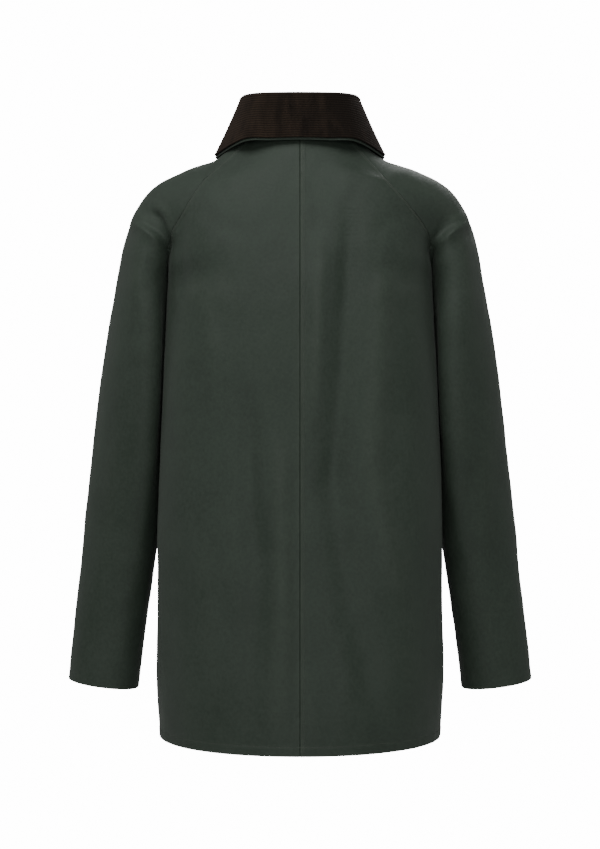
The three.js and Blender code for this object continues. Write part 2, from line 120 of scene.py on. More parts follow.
# The two backs: waxed cotton cut as one panel on each side of the centre back, from the neck
# to the hem. They are joined by a felled seam with topstitching, and so are the raglan seams.
# Every panel's form is worked out here from sections of the garment, in millimetres.
MM = 0.001
CLOTH = 1.3            # the wall of a heavy waxed cotton
SEAM_ALLOWANCE = 0.9   # more thickness inside, next to a seam
ALLOWANCE_END = (6, 8)  # distances from the seam between which that ends
FELL_WIDTH = 5.2       # a felled seam's upper layer
FELL_HEIGHT = 0.32
FELL_FALL = 2.2        # in which it falls to the panel's own level
FELL_END = (-200, -150)  # heights between which the raglan seam's fell fades out
# The fell's lighter lines below are worn wax, and also a painted highlight along its raised edges.
FELL_LIGHT_LINES = ((1, 1.6, 0.9), (0.35, 4.2, 2.0))  # share, distance and width of its rubbed lines
FELL_LIGHTENING = 0.75
FELL_REACH = 12.0      # nothing is rubbed farther from the seam
PUCKER = 0.22          # how unevenly the thread draws a fell together
SEAM_GROOVE = 0.85     # how deep the line between two panels is
SEAM_ROUND = 1.2       # width in which a panel rounds down into it
SEAM_CALM = 18.0       # creases fade out this near a side seam
UNDER_ARM = (150, 180)  # depths between which a raglan seam loses its groove
STITCH_LINES = (1.6, 4.6)  # rows of topstitching, from the seam
STITCH_DENT = 0.22
STITCH_DENT_WIDTH = 0.55
EDGE_DISTANCES = np.array(
    [0, 0.3, 0.7, 1.1, 1.6, 2.2, 3.0, 3.9, 4.6, 5.1, 5.6, 6.2, 7.0, 8.2, 10, 13])
CURVE_STEPS = 241      # points of a section's curve before they are spread
BODY_MIDDLE_COLUMNS = 46
ROWS_PER_SECTION = 20
HEM_BAND = 12.0        # the turned-up hem
HEM_LAYER = 1.2        # its second layer, inside
HEM_DISTANCES = np.array(
    [0, 0.3, 0.7, 1.2, 2.0, 3.2, 4.6, 6.2, 8.0, 9.6, 10.8, 11.5, 12.0, 12.6, 13.4, 14.8])
HEM_CALM = 40.0        # the cloth's broad unevenness fades out this near the hem
ARMPIT_SECTION = 6
ARMPIT_HEIGHT = -186.0
SEAM_ROUNDING = 0.8    # how fast the back falls away forwards across the raglan seam
CREASE_STEPS = 60      # points along a crease
CREASE_REACH = 3       # widths beyond which a crease is level
CREASE_FADE = 0.75     # how much of its height a crease loses at its ends
CREASE_TURN = 4.0      # in which one side's width gives way to the other's
WAVES = 22             # in each of the cloth's uneven swells
UPRIGHT_WAVES = 0.30   # how little the swells change up and down the cloth
BACKWARD, FORWARD = -1, 1
LEFT, RIGHT = -1, 1


def table(heading, rows):
    return dict(zip(heading.split(), np.array(rows, float).T))


# Each row is a section of a panel, from the neck down. mid is the centre line and seam the outer
# edge. turn and lift say which way the cloth faces there, full and reach how round it runs.
BACK = table("midY midZ seamLeft seamRight seamY seamZ turn lift full reach", [
    (-66, 0, 60, 60, -49, 0, 30, 44, .40, .34),
    (-78, -25, 106, 96, -54, -43, 34, 40, .40, .34),
    (-87, -51, 123, 109.5, -66, -61, 32, 30, .42, .34),
    (-98, -85, 141, 135.5, -70, -90, 38, 18, .46, .35),
    (-106, -118, 157, 156.5, -54, -119, 60, 9, .52, .37),
    (-113, -150, 163, 163, -24, -151, 86, 3, .60, .42),
    (-119, -186, 164, 164, 8, -186, 94, 0, .66, .46),
    (-124, -250, 166, 166, 8, -250, 97, 0, .70, .50),
    (-127, -320, 168.2, 168.2, 9, -319, 98, 0, .72, .51),
    (-130, -400, 171, 171, 10, -399, 98, 0, .72, .51),
    (-136, -490, 174.4, 174.4, 11, -487, 97, 0, .72, .50),
    (-142, -580, 176, 176, 12, -575, 95, 0, .69, .47),
    (-147, -665, 178, 178, 12, -659, 95, 0, .66, .44),
    (-150, -748.5, 174.2, 174.2, 12, -739.5, 95, 0, .62, .39),
])

# Creases on the back and the back of the sleeves, each a soft ridge or trough that bends from
# its first point over to its third. A negative height is a trough. Its side towards -X has
# one width and its side towards +X another.
BACK_CREASES = table("x1 z1 x2 z2 x3 z3 widthLeft widthRight height", [
    (60, -90, 56, -240, 38, -440, 12, 12, -5.2),
    (60, -140, 56, -250, 40, -420, 20, 22, -1.6),
    (36, -360, 44, -540, 104, -730, 19, 19, -7.0),
    (16, -60, 22, -100, 24, -130, 7, 8, -1.2),
    (24, -130, 22, -240, 14, -360, 10, 9, 3.2),
    (103, -160, 95, -290, 88, -400, 16, 16, 3.4),
    (86, -380, 100, -460, 118, -560, 16, 15, 4.0),
    (150, -340, 148, -380, 146, -430, 10, 8, -1.3),
    (-58, -330, -64, -410, -54, -520, 14, 11, -4.6),
    (-23, -380, -19, -540, -24, -715, 14, 12, 4.8),
    (-50, -460, -54, -590, -64, -725, 17, 15, -4.2),
    (-112, -200, -104, -250, -106, -300, 14, 10, 1.3),
    (-150, -250, -142, -330, -144, -420, 10, 14, 1.3),
    (-120, -500, -110, -600, -104, -700, 14, 12, 1.2),
    (66, -560, 58, -640, 50, -730, 12, 14, 1.2),
    (128, -500, 132, -600, 124, -700, 14, 12, 1.3),
    (-144, -96, -147, -140, -142, -210, 5, 9, -2.6),
    (-156, -130, -159, -170, -160, -270, 4, 4, 1.4),
    (-206, -94, -182, -106, -158, -124, 9, 9, 2.4),
    (-216, -110, -192, -126, -162, -146, 14, 14, -3.6),
    (-184, -96, -167, -92, -161, -138, 8, 4, -3.2),
    (-178, -84, -162, -88, -157, -126, 8, 6, 1.8),
    (-198, -116, -196, -150, -204, -200, 10, 10, 1.8),
    (-182, -140, -188, -190, -190, -260, 9, 14, -1.6),
    (208, -94, 184, -106, 158, -124, 9, 9, 2.4),
    (216, -110, 192, -126, 162, -146, 14, 14, -4.4),
    (178, -100, 169, -116, 163, -156, 6, 10, -2.0),
    (-156, -190, -122, -198, -84, -192, 22, 22, 2.6),
    (84, -188, 118, -194, 150, -184, 22, 22, 2.4),
    (204, -120, 204, -160, 212, -220, 9, 9, 1.6),
    (124, -44, 156, -62, 190, -96, 14, 14, 2.2),
    (-200, -270, -206, -310, -208, -350, 12, 16, -1.6),
    (206, -230, 214, -280, 216, -340, 16, 12, -1.6),
    (-232, -380, -232, -430, -237, -490, 8, 9, 1.5),
    (-196, -420, -199, -470, -208, -520, 9, 8, -1.5),
    (-232, -540, -240, -600, -252, -650, 12, 12, -1.4),
    (212, -400, 206, -450, 204, -500, 9, 9, -1.6),
    (232, -380, 232, -440, 228, -500, 9, 9, 1.5),
    (246, -540, 244, -610, 262, -670, 12, 12, -1.5),
    (-120, -92, -96, -116, -60, -128, 12, 12, -0.9),
    (126, -92, 106, -112, 80, -124, 12, 12, -1.0),
    (-140, -620, -132, -680, -138, -740, 11, 11, 1.1),
    (136, -630, 142, -680, 134, -740, 11, 11, 1.1),
    (6, -650, 14, -700, 22, -745, 8, 8, 0.9),
    (-84, -660, -78, -700, -84, -745, 9, 9, -0.9),
])


def between(columns, place, even=()):
    """A smooth value of every column between the sections of a table. The columns in even
    run level through the first section, as they do where the other side mirrors them."""
    values = {}
    for name, column in columns.items():
        before = column[1] if name in even else 2 * column[0] - column[1]
        run = np.concatenate([[before], column, [2 * column[-1] - column[-2]]])
        start = np.clip(np.floor(place).astype(int), 0, len(column) - 2)
        f = place - start
        a, b, c, d = (run[start + k] for k in range(4))
        slope, next_slope = (c - a) / 2, (d - b) / 2
        bend = 3 * (c - b) - 2 * slope - next_slope
        twist = 2 * (b - c) + slope + next_slope
        values[name] = b + f * (slope + f * (bend + f * twist))
    return values


def points(x, y, z):
    return np.stack(np.broadcast_arrays(np.asarray(x, float), y, z), -1)


def length_of(vectors):
    return np.linalg.norm(vectors, axis=-1, keepdims=True)


def unit(vectors):
    return vectors / np.maximum(length_of(vectors), 1e-12)


def smooth(value, start, end):
    f = np.clip((value - start) / (end - start), 0, 1)
    return f * f * (3 - 2 * f)


def hump(value, at, width):
    """A soft rise to 1 at one value."""
    return np.exp(-((value - at) / width)**2)


def facing(turn, lift, front):
    """Which way the cloth faces at a seam. Turn goes from straight back or front to the side."""
    a, b = np.radians(turn), np.radians(lift)
    return points(np.sin(a) * np.cos(b), front * np.cos(a) * np.cos(b), np.sin(b))


def in_cloth(direction, normal):
    return unit(direction - (direction * normal).sum(-1, keepdims=True) * normal)


def later(columns, start):
    return {name: column[start:] for name, column in columns.items()}


def body_section(sections, place):
    """A body section at each place. Below the armpit the seam follows the side seam alone."""
    section = between(sections, place)
    side = between(later(sections, ARMPIT_SECTION), np.maximum(place - ARMPIT_SECTION, 0))
    for name in ("seamLeft", "seamRight", "seamY", "seamZ", "turn", "lift"):
        section[name] = np.where(place > ARMPIT_SECTION, side[name], section[name])
    return section


def seam_points(section, side):
    nearer = 0 if side == LEFT else section["seamLeft"] - section["seamRight"]
    return points(section["seamLeft"] - nearer, section["seamY"] - SEAM_ROUNDING * nearer,
                  section["seamZ"])


def bezier(ends, share):
    start, start_handle, end_handle, end = (p[:, None, :] for p in ends)
    t = share[..., None]
    s = 1 - t
    return s**3 * start + 3 * s**2 * t * start_handle + 3 * s * t**2 * end_handle + t**3 * end


def run_across(grid):
    """Distance of each point of a grid along its row, from the row's first point."""
    steps = length_of(np.diff(grid, axis=1))[..., 0]
    return np.concatenate([np.zeros((len(steps), 1)), np.cumsum(steps, 1)], 1)


def spread_columns(ends, middle_columns):
    """Points along each section's curve: close together next to both ends, even between.
    It also gives their distances from the start and from the end."""
    fine = np.linspace(0, 1, CURVE_STEPS)
    along = bezier(ends, np.broadcast_to(fine, (len(ends[0]), len(fine))))
    run = run_across(along)
    from_start = []
    for length in run[:, -1]:
        middle = np.linspace(EDGE_DISTANCES[-1], length - EDGE_DISTANCES[-1], middle_columns + 2)
        from_start.append(np.concatenate([EDGE_DISTANCES, middle[1:-1],
                                          (length - EDGE_DISTANCES)[::-1]]))
    from_start = np.array(from_start)
    share = np.array([np.interp(d, r, fine) for d, r in zip(from_start, run)])
    return bezier(ends, share), from_start, run[:, -1:] - from_start


def body_ends(sections, place, side, front):
    section = body_section(sections, place)
    middle = points(0, section["midY"], section["midZ"])
    seam = seam_points(section, side)
    span = seam - middle
    arrive = in_cloth(span, facing(section["turn"], section["lift"], front))
    start_handle = middle + points(section["full"] * seam[:, 0], 0, 0)
    end_handle = seam - arrive * section["reach"][:, None] * length_of(span)
    return middle, start_handle, end_handle, seam


def row_places(sections):
    """Places down a panel, closer together at the bottom edge."""
    last = len(sections["midZ"]) - 1
    last_length = abs(sections["midZ"][-1] - sections["midZ"][-2])
    bottom = last - HEM_DISTANCES[::-1] / last_length
    upper = np.linspace(0, bottom[0], last * ROWS_PER_SECTION, endpoint=False)
    return np.concatenate([upper, bottom])


def grid_normals(grid, hand):
    down, across = np.gradient(grid, axis=0), np.gradient(grid, axis=1)
    return hand * unit(np.cross(down, across))


def crease_height(creases, x, z):
    """Height of all the creases at points of the flat view. Each fades out at its two ends."""
    height = np.zeros(x.shape)
    steps = np.linspace(0, 1, CREASE_STEPS)
    for k in range(len(creases["height"])):
        crease = {name: column[k] for name, column in creases.items()}
        path = [(1 - steps)**2 * crease[a + "1"] + 2 * steps * (1 - steps) * crease[a + "2"]
                + steps**2 * crease[a + "3"] for a in "xz"]
        reach = CREASE_REACH * max(crease["widthLeft"], crease["widthRight"])
        near = ((x > path[0].min() - reach) & (x < path[0].max() + reach)
                & (z > path[1].min() - reach) & (z < path[1].max() + reach))
        across = x[near][:, None] - path[0]
        away = np.hypot(across, z[near][:, None] - path[1])
        nearest = away.argmin(1)
        pick = np.arange(len(nearest))
        right = smooth(across[pick, nearest], -CREASE_TURN, CREASE_TURN)
        wide = crease["widthLeft"] + (crease["widthRight"] - crease["widthLeft"]) * right
        fade = 1 - CREASE_FADE * (2 * steps[nearest] - 1)**4
        height[near] += crease["height"] * fade * hump(away[pick, nearest], 0, wide)
    return height


def rumple(at, wavelength, seed):
    """Soft irregular waves in the cloth, from -1 to 1, the same for two panels at their seam."""
    dice = np.random.default_rng(seed)
    value = np.zeros(at.shape[:-1])
    for _ in range(WAVES):
        direction = dice.normal(size=3)
        direction[2] *= UPRIGHT_WAVES
        direction /= np.linalg.norm(direction)
        turns = 2 * math.pi / (wavelength * dice.uniform(0.6, 1.7))
        value += np.sin(at @ direction * turns + dice.uniform(0, 2 * math.pi))
    return value / math.sqrt(WAVES)


def seam_groove(distance, z=0):
    """The line where two panels meet. Under the arm they are pressed on each other instead."""
    depth = SEAM_GROOVE * (1 - smooth(-z, *UNDER_ARM))
    return -depth * (1 - smooth(distance, 0, SEAM_ROUND))


def fell(panel, distance):
    """Height of a felled seam's upper layer at a distance from the seam line."""
    top = FELL_HEIGHT * smooth(distance, 0, SEAM_ROUND)
    top *= 1 - smooth(distance, FELL_WIDTH, FELL_WIDTH + FELL_FALL)
    dents = sum(hump(distance, line, STITCH_DENT_WIDTH) for line in STITCH_LINES)
    return (top - STITCH_DENT * dents) * (1 + PUCKER * rumple(panel.flat, 9, 5))


def raglan_fell(panel):
    return fell(panel, panel.from_end) * smooth(panel.flat[..., 2], *FELL_END)


def fell_rub_and_highlight(distance):
    """Wax worn thin along a fell's two edges, painted lighter there, which is also a painted
    highlight where its raised edges catch the light.
    """
    edge = sum(share * hump(distance, at, width) for share, at, width in FELL_LIGHT_LINES)
    return FELL_LIGHTENING * edge * (distance < FELL_REACH)


def edge_wear(panel, share):
    """Wax rubbed off the very edge of a hem or a cuff."""
    return share * hump(panel.bottom, 0, 1.6)


def from_bottom(grid):
    return run_across(grid[::-1].transpose(1, 0, 2)).T[::-1]


class Panel:
    """A cut piece: its outer points, the way out, the way in, its thickness, and its lightening from
    worn wax and painted highlight.
    """

    def __init__(self, grid, hand, from_start, from_end, relief):
        self.flat = grid
        self.from_start, self.from_end = from_start, from_end
        self.bottom = from_bottom(grid)
        height, self.wear_and_highlight, self.thick = relief(self)
        self.outer = grid + grid_normals(grid, hand) * height[..., None]
        self.normals = grid_normals(self.outer, hand)
        self.inward = -self.normals

    def turn_edge(self, distance):
        """Rounds an open edge, such as the hem, in to the middle of its thickness."""
        radius = self.thick / 2
        near = np.clip(radius - distance, 0, None)
        drop = radius - np.sqrt(np.maximum(radius**2 - near**2, 0))
        self.outer = self.outer + self.inward * drop[..., None]
        self.thick = self.thick - 2 * drop


def towards_edge(panel, column):
    neighbour = column + 1 if column == 0 else column - 1
    return unit(panel.outer[:, column] - panel.outer[:, neighbour])


def sew(one, column_one, two, column_two, rows):
    """Two panels meet on one line and one mitre, so no light comes through their seam."""
    inward = -one.normals[rows, column_one] - two.normals[rows, column_two]
    meet = towards_edge(one, column_one)[rows] + towards_edge(two, column_two)[rows]
    meet *= np.where((inward * meet).sum(-1, keepdims=True) < 0, -1, 1)
    inward = unit(inward + meet)
    middle = (one.outer[rows, column_one] + two.outer[rows, column_two]) / 2
    for panel, column in ((one, column_one), (two, column_two)):
        panel.inward[rows, column] = inward
        panel.outer[rows, column] = middle


def mirrored(grid, side):
    return grid * np.array([side, 1, 1])


def body_panel(sections, side, front, relief, places):
    grid, from_start, from_end = spread_columns(body_ends(sections, places, side, front),
                                                BODY_MIDDLE_COLUMNS)
    return Panel(mirrored(grid, side), -side * front, from_start, from_end, relief)


def cloth_swell(panel):
    """Broad unevenness of the cloth, on every panel."""
    broad = 0.50 * rumple(panel.flat, 90, 3) + 0.26 * rumple(panel.flat, 32, 8)
    return broad * smooth(panel.bottom, 0, HEM_CALM)


def thickness(panel, band, layer):
    """The wall with its seam allowances, and with a band of cloth turned up at the bottom."""
    seam = np.minimum(panel.from_start, panel.from_end)
    wall_width = CLOTH + SEAM_ALLOWANCE * (1 - smooth(seam, *ALLOWANCE_END))
    return wall_width + layer * (1 - smooth(panel.bottom, band - 1, band + 1))


def hem_relief(panel):
    """The turned-up hem: a step at its stitching, and puckers drawn in by the thread."""
    step = 0.45 * (1 - smooth(panel.bottom, HEM_BAND - 0.6, HEM_BAND + 1.2))
    dent = -0.4 * hump(panel.bottom, HEM_BAND - 0.4, 0.9)
    pucker = rumple(panel.flat * np.array([1, 1, 0.25]), 17, 21)
    return step + dent + 0.42 * pucker * hump(panel.bottom, 7, 8.5)


def back_relief(side):
    """The right back lies over the left one at the centre, so its fell is the raised one."""
    def relief(panel):
        x, z = panel.flat[..., 0], panel.flat[..., 2]
        creases = crease_height(BACK_CREASES, x, z)
        calm = np.where(z < ARMPIT_HEIGHT, smooth(panel.from_end, 0, SEAM_CALM), 1)
        height = creases * calm + cloth_swell(panel) + hem_relief(panel)
        height += seam_groove(panel.from_start) + seam_groove(panel.from_end, z)
        height += raglan_fell(panel)
        # Lighter lines beside the fells, here and below, are worn wax and also painted highlight.
        wear_and_highlight = fell_rub_and_highlight(panel.from_end) + edge_wear(panel, 0.8)
        wear_and_highlight += 0.3 * hump(panel.bottom, HEM_BAND, 1.5) + 0.10 * creases.clip(0, 3)
        if side == RIGHT:
            height += fell(panel, panel.from_start)
            wear_and_highlight += fell_rub_and_highlight(panel.from_start)
        else:
            wear_and_highlight += 0.45 * fell_rub_and_highlight(panel.from_start)
        return height, wear_and_highlight, thickness(panel, HEM_BAND, HEM_LAYER)
    return relief


back_places = row_places(BACK)
backs = {side: body_panel(BACK, side, BACKWARD, back_relief(side), back_places)
         for side in (LEFT, RIGHT)}
last_column = backs[LEFT].outer.shape[1] - 1
armpit_row = int(np.searchsorted(back_places, ARMPIT_SECTION))
every_row = np.arange(len(back_places))
above_armpit = every_row[:armpit_row]
below_armpit = every_row[armpit_row + 1:]

# The sleeves: each is a back and a front half of waxed cotton from the neck to the cuff, sewn
# to the body along the raglan seam and to each other over the arm and under it.
SLEEVE_MIDDLE_COLUMNS = 40
INNER_FULLNESS = 9.0   # how much squarer than its curve the sleeve hangs next to the body
BACK_CORNER, FRONT_CORNER = 0.36, 0.24  # where, as a share from the inner seam to the outer
CORNER_WIDTHS = (0.07, 0.14)  # how wide that fullness is, towards the inner seam and the outer
FULL_FROM, FULL_TO = (150, 240), (380, 560)  # depths between which it comes and goes
SLEEVE_TILT = 0.06     # the sleeves hang slightly forwards, square to the arm
OVER_ARM_CALM, UNDER_ARM_CALM = 16.0, 14.0  # creases fade out this near the sleeve's seams
CUFF_BAND = 25.0       # the turned-up cuff
CUFF_LAYER = 1.0
# Each row is a section of a sleeve. top is its outer edge over the arm and inner its seam under
# it. lean, Pull and Top say how round each half runs, Tuck how far it turns in under the arm.
SLEEVE = table(
    "topX topY topZ innerX innerY innerZ lean"
    " backPull backTop backTuck frontPull frontTop frontTuck", [
        (77, -4, -4, 0, 0, 0, 0, 16, 17, 0, 15, 15, 0),
        (104.5, -4, -24.8, 0, 0, 0, 0, 22, 20, 0, 22, 24, 0),
        (140, -2, -37.3, 0, 0, 0, 0, 29, 33, 0, 26, 30, 0),
        (184, 5, -58.6, 0, 0, 0, 0, 34, 44, .06, 30, 38, .1),
        (208, 10, -91, 0, 0, 0, 0, 36, 58, .36, 32, 50, .4),
        (222, 14, -130, 0, 0, 0, 0, 54, 74, .78, 50, 68, .8),
        (232.5, 18, -185, 164, 8, -186, 0, 94, 80, 1, 82, 84, 1),
        (243.4, 21, -249, 167.2, 17, -251, .04, 114, 72, 1, 94, 88, 1),
        (253.8, 25, -321, 169.8, 23, -325, .08, 114, 66, 1, 94, 84, 1),
        (262.6, 28, -398, 172.8, 27, -403, .08, 104, 60, 1, 88, 78, 1),
        (271.2, 32, -473, 176.4, 31, -480, .06, 92, 56, 1, 78, 71, 1),
        (277.6, 35, -538, 185.6, 34, -547, .04, 80, 56, 1, 72, 67, 1),
        (285.8, 38, -605, 195.3, 38, -616, .03, 70, 57, 1, 65, 63, 1),
        (293, 42, -674.8, 204.8, 42, -686.5, .02, 59, 59, 1, 59, 59, 1),
    ])
FRONT = table("midY midZ seamLeft seamRight seamY seamZ turn lift full reach", [
    (60, -62, 57, 57, 38, -14, 30, 42, .45, .40),
    (73, -82, 88, 88, 57, -40, 28, 36, .42, .36),
    (83, -102, 108, 108, 66, -62, 30, 27, .44, .35),
    (94, -126, 128, 128, 71, -92, 36, 16, .46, .35),
    (102, -146, 149, 149, 64, -124, 56, 8, .50, .36),
    (108, -166, 161, 161, 40, -156, 78, 3, .54, .38),
    (113, -186, 164, 164, 8, -186, 86, 0, .58, .39),
    (123, -250, 166, 166, 8, -250, 82, 0, .60, .40),
    (127, -320, 168.2, 168.2, 9, -319, 81, 0, .62, .40),
    (129, -400, 171, 171, 10, -399, 81, 0, .62, .40),
    (133, -488, 174.4, 174.4, 11, -487, 82, 0, .62, .40),
    (139, -578, 176, 176, 12, -575, 84, 0, .62, .40),
    (143, -663, 178, 178, 12, -659, 85, 0, .62, .40),
    (146, -746, 174.2, 174.2, 12, -739.5, 85, 0, .62, .40),
])
FRONT_CREASES = table("x1 z1 x2 z2 x3 z3 widthLeft widthRight height", [
    (-120, -120, -96, -170, -88, -250, 16, 25, -2.2),
    (118, -122, 92, -180, 96, -262, 25, 16, -2.0),
    (-60, -260, -52, -360, -62, -470, 18, 28, -2.2),
    (66, -300, 54, -400, 60, -520, 28, 18, -2.0),
    (-110, -420, -118, -540, -104, -660, 14, 22, 1.8),
    (112, -380, 120, -500, 110, -640, 22, 14, 1.6),
    (-180, -96, -170, -130, -168, -180, 8, 12, -2.4),
    (182, -92, 174, -130, 170, -176, 12, 8, -2.4),
    (-204, -200, -212, -270, -210, -340, 10, 16, -2.0),
    (206, -190, 214, -260, 214, -350, 16, 10, -2.0),
    (165, -180, 165, -205, 167, -235, 5, 5, 1.7),
    (-216, -400, -228, -450, -226, -520, 10, 15, 1.6),
    (216, -390, 226, -440, 228, -510, 15, 10, 1.6),
    (-190, -470, -214, -478, -246, -500, 9, 14, -1.6),
    (196, -452, 216, -470, 250, -482, 14, 9, -1.5),
    (-238, -560, -246, -610, -258, -660, 11, 18, -1.4),
    (242, -570, 244, -620, 260, -668, 18, 11, -1.4),
])


def sleeve_ends(sections, place, side, front):
    arm = between(SLEEVE, place)
    top = points(arm["topX"], arm["topY"], arm["topZ"])
    under = between(later(SLEEVE, ARMPIT_SECTION), np.maximum(place - ARMPIT_SECTION, 0))
    section = between(sections, place)
    raglan = (place < ARMPIT_SECTION)[:, None]
    inner = np.where(raglan, seam_points(section, side),
                     points(under["innerX"], under["innerY"], under["innerZ"]))
    normal = np.where(raglan, facing(section["turn"], section["lift"], front), (1.0, 0, 0))
    name = "back" if front == BACKWARD else "front"
    tuck = arm[name + "Tuck"][:, None]
    slant = front * SLEEVE_TILT * arm[name + "Tuck"]
    leave = unit(in_cloth(top - inner, normal) * (1 - tuck)
                 + points(-arm["lean"], front * arm[name + "Tuck"], slant))
    return (inner, inner + leave * arm[name + "Pull"][:, None],
            top + points(0, front, slant) * arm[name + "Top"][:, None], top)


def sleeve_relief(creases_there, corner_at):
    """The relief of a sleeve's half, with its fullness next to the body at one share across."""
    def relief(panel):
        x, z = panel.flat[..., 0], panel.flat[..., 2]
        creases = crease_height(creases_there, x, z)
        calm = smooth(panel.from_end, 0, OVER_ARM_CALM)
        calm *= np.where(z < ARMPIT_HEIGHT, smooth(panel.from_start, 0, UNDER_ARM_CALM), 1)
        height = creases * calm + cloth_swell(panel)
        share = panel.from_start / (panel.from_start + panel.from_end)
        corner = hump(share, corner_at, np.where(share < corner_at, *CORNER_WIDTHS))
        height += INNER_FULLNESS * corner * smooth(-z, *FULL_FROM) * (1 - smooth(-z, *FULL_TO))
        height += seam_groove(panel.from_start, z) + 0.7 * seam_groove(panel.from_end)
        height += 0.5 * hem_relief(panel) * hump(panel.bottom, 0, 12)
        wear_and_highlight = 0.28 * hump(panel.from_end, 0, 2.5) + edge_wear(panel, 0.9)
        wear_and_highlight += 0.12 * creases.clip(0, 3)
        return height, wear_and_highlight, thickness(panel, CUFF_BAND, CUFF_LAYER)
    return relief


def sleeve_panel(sections, side, front, creases, corner_at):
    grid, from_start, from_end = spread_columns(
        sleeve_ends(sections, back_places, side, front), SLEEVE_MIDDLE_COLUMNS)
    return Panel(mirrored(grid, side), -side * front, from_start, from_end,
                 sleeve_relief(creases, corner_at))


sleeve_backs = {side: sleeve_panel(BACK, side, BACKWARD, BACK_CREASES, BACK_CORNER)
                for side in (LEFT, RIGHT)}
sleeve_fronts = {side: sleeve_panel(FRONT, side, FORWARD, FRONT_CREASES, FRONT_CORNER)
                 for side in (LEFT, RIGHT)}
sleeve_last = sleeve_backs[LEFT].outer.shape[1] - 1

# The fronts: waxed cotton, closed over each other at the centre front. The upper one has a
# straight stitched edge, and the lower one runs on beneath it.
OVERLAP = 30.0         # how far each front runs past the centre
OVERLAP_STEP = 2.9     # how much deeper the lower front lies there
OVERLAP_MARGIN = 12.0  # it is at that depth this far beyond the upper one's edge
OVERLAP_BLEND = 40.0   # and comes back up to its own form by here
OVERLAP_LAYER = 0.6    # more thickness where the fronts' edges are turned in
FRONT_EDGE_CALM = (20, 60)  # distances from the centre front between which creases begin
OVERLAP_DISTANCES = OVERLAP - np.array([0, 0.3, 0.7, 1.2, 2, 3.2, 4.5, 6, 7, 8, 11, 15, 20, 25])


def front_relief(panel):
    x, z = panel.flat[..., 0], panel.flat[..., 2]
    calm = smooth(panel.from_end, 0, SEAM_CALM) * smooth(panel.from_start, *FRONT_EDGE_CALM)
    height = crease_height(FRONT_CREASES, x, z) * calm + cloth_swell(panel) + hem_relief(panel)
    height += seam_groove(panel.from_end, z) + raglan_fell(panel)
    # The lighter lines beside the raglan fell are worn wax and also painted highlight.
    wear_and_highlight = fell_rub_and_highlight(panel.from_end) + edge_wear(panel, 0.8)
    return height, wear_and_highlight, thickness(panel, HEM_BAND, HEM_LAYER)


fronts = {side: body_panel(FRONT, side, FORWARD, front_relief, back_places)
          for side in (LEFT, RIGHT)}

for side in (LEFT, RIGHT):
    back, front = backs[side], fronts[side]
    sleeve_back, sleeve_front = sleeve_backs[side], sleeve_fronts[side]
    sew(back, last_column, sleeve_back, 0, above_armpit)
    sew(front, last_column, sleeve_front, 0, above_armpit)
    sew(back, last_column, front, last_column, below_armpit)
    sew(sleeve_back, 0, sleeve_front, 0, below_armpit)
    sew(sleeve_back, sleeve_last, sleeve_front, sleeve_last, every_row)
    meeting = ((back, last_column), (front, last_column), (sleeve_back, 0), (sleeve_front, 0))
    armpit = np.mean([panel.outer[armpit_row, column] for panel, column in meeting], axis=0)
    for panel, column in meeting:
        panel.outer[armpit_row, column] = armpit
        panel.inward[armpit_row, column] = (0, 0, 1)
sew(backs[LEFT], 0, backs[RIGHT], 0, every_row)


def add_overlap(panel, other_outer, other_inward, under):
    """Runs a front on past the centre front, on the other side's form."""
    columns, inwards = [], []
    for distance in OVERLAP_DISTANCES:
        rows, ways = [], []
        for i, row in enumerate(other_outer):
            run = np.abs(row[:, 0])
            rows.append([np.interp(distance, run, row[:, k]) for k in range(3)])
            ways.append([np.interp(distance, run, other_inward[i][:, k]) for k in range(3)])
        columns.append(rows)
        inwards.append(ways)
    added = np.array(columns).transpose(1, 0, 2)
    panel.outer = np.concatenate([added, panel.outer], 1)
    panel.inward = np.concatenate([unit(np.array(inwards).transpose(1, 0, 2)), panel.inward], 1)
    width = len(OVERLAP_DISTANCES)
    panel.thick = np.concatenate([np.repeat(panel.thick[:, :1], width, 1), panel.thick], 1)
    panel.thick[:, :width + 1] = CLOTH + OVERLAP_LAYER
    edge = OVERLAP - OVERLAP_DISTANCES
    lightened = np.broadcast_to(0.7 * hump(edge, 1, 1.5), added.shape[:2])
    panel.wear_and_highlight = np.concatenate([lightened, panel.wear_and_highlight], 1)
    panel.bottom = from_bottom(panel.outer)
    if under:
        sideways = np.sign(other_outer[0, -1, 0])
        inside = smooth(sideways * panel.outer[..., 0], -OVERLAP - OVERLAP_BLEND,
                        -OVERLAP - OVERLAP_MARGIN)
        panel.outer = panel.outer + panel.inward * (OVERLAP_STEP * inside)[..., None]
    from_edge = np.concatenate([edge, np.full(panel.outer.shape[1] - width, OVERLAP)])
    panel.turn_edge(np.broadcast_to(from_edge, panel.thick.shape))


plain_left = fronts[LEFT].outer.copy(), fronts[LEFT].inward.copy()
add_overlap(fronts[LEFT], fronts[RIGHT].outer, fronts[RIGHT].inward, False)
add_overlap(fronts[RIGHT], *plain_left, True)
for panels in (backs, fronts, sleeve_backs, sleeve_fronts):
    for panel in panels.values():
        panel.turn_edge(panel.bottom)


# The waxed cotton: a dark green cloth of fine plain weave, dressed with wax. The wax lies
# unevenly, is worn lighter along folds and seams, and gives a dull soft sheen. Along the seams
# the lighter lines are also a painted highlight.
COTTON_DARK = (0.0235, 0.0350, 0.0248)
COTTON_LIGHT = (0.0330, 0.0465, 0.0345)
# The lightest green is worn wax, and along the fells it is also a painted highlight.
COTTON_RUBBED_AND_LIT = (0.058, 0.074, 0.056)
SHEEN_GREEN = (0.80, 0.88, 0.80, 1)
THREADS_PER_METRE = 1900


def material_named(name):
    material = bpy.data.materials.new(name)
    material.use_nodes = True
    tree = material.node_tree
    return material, tree, tree.nodes["Principled BSDF"]


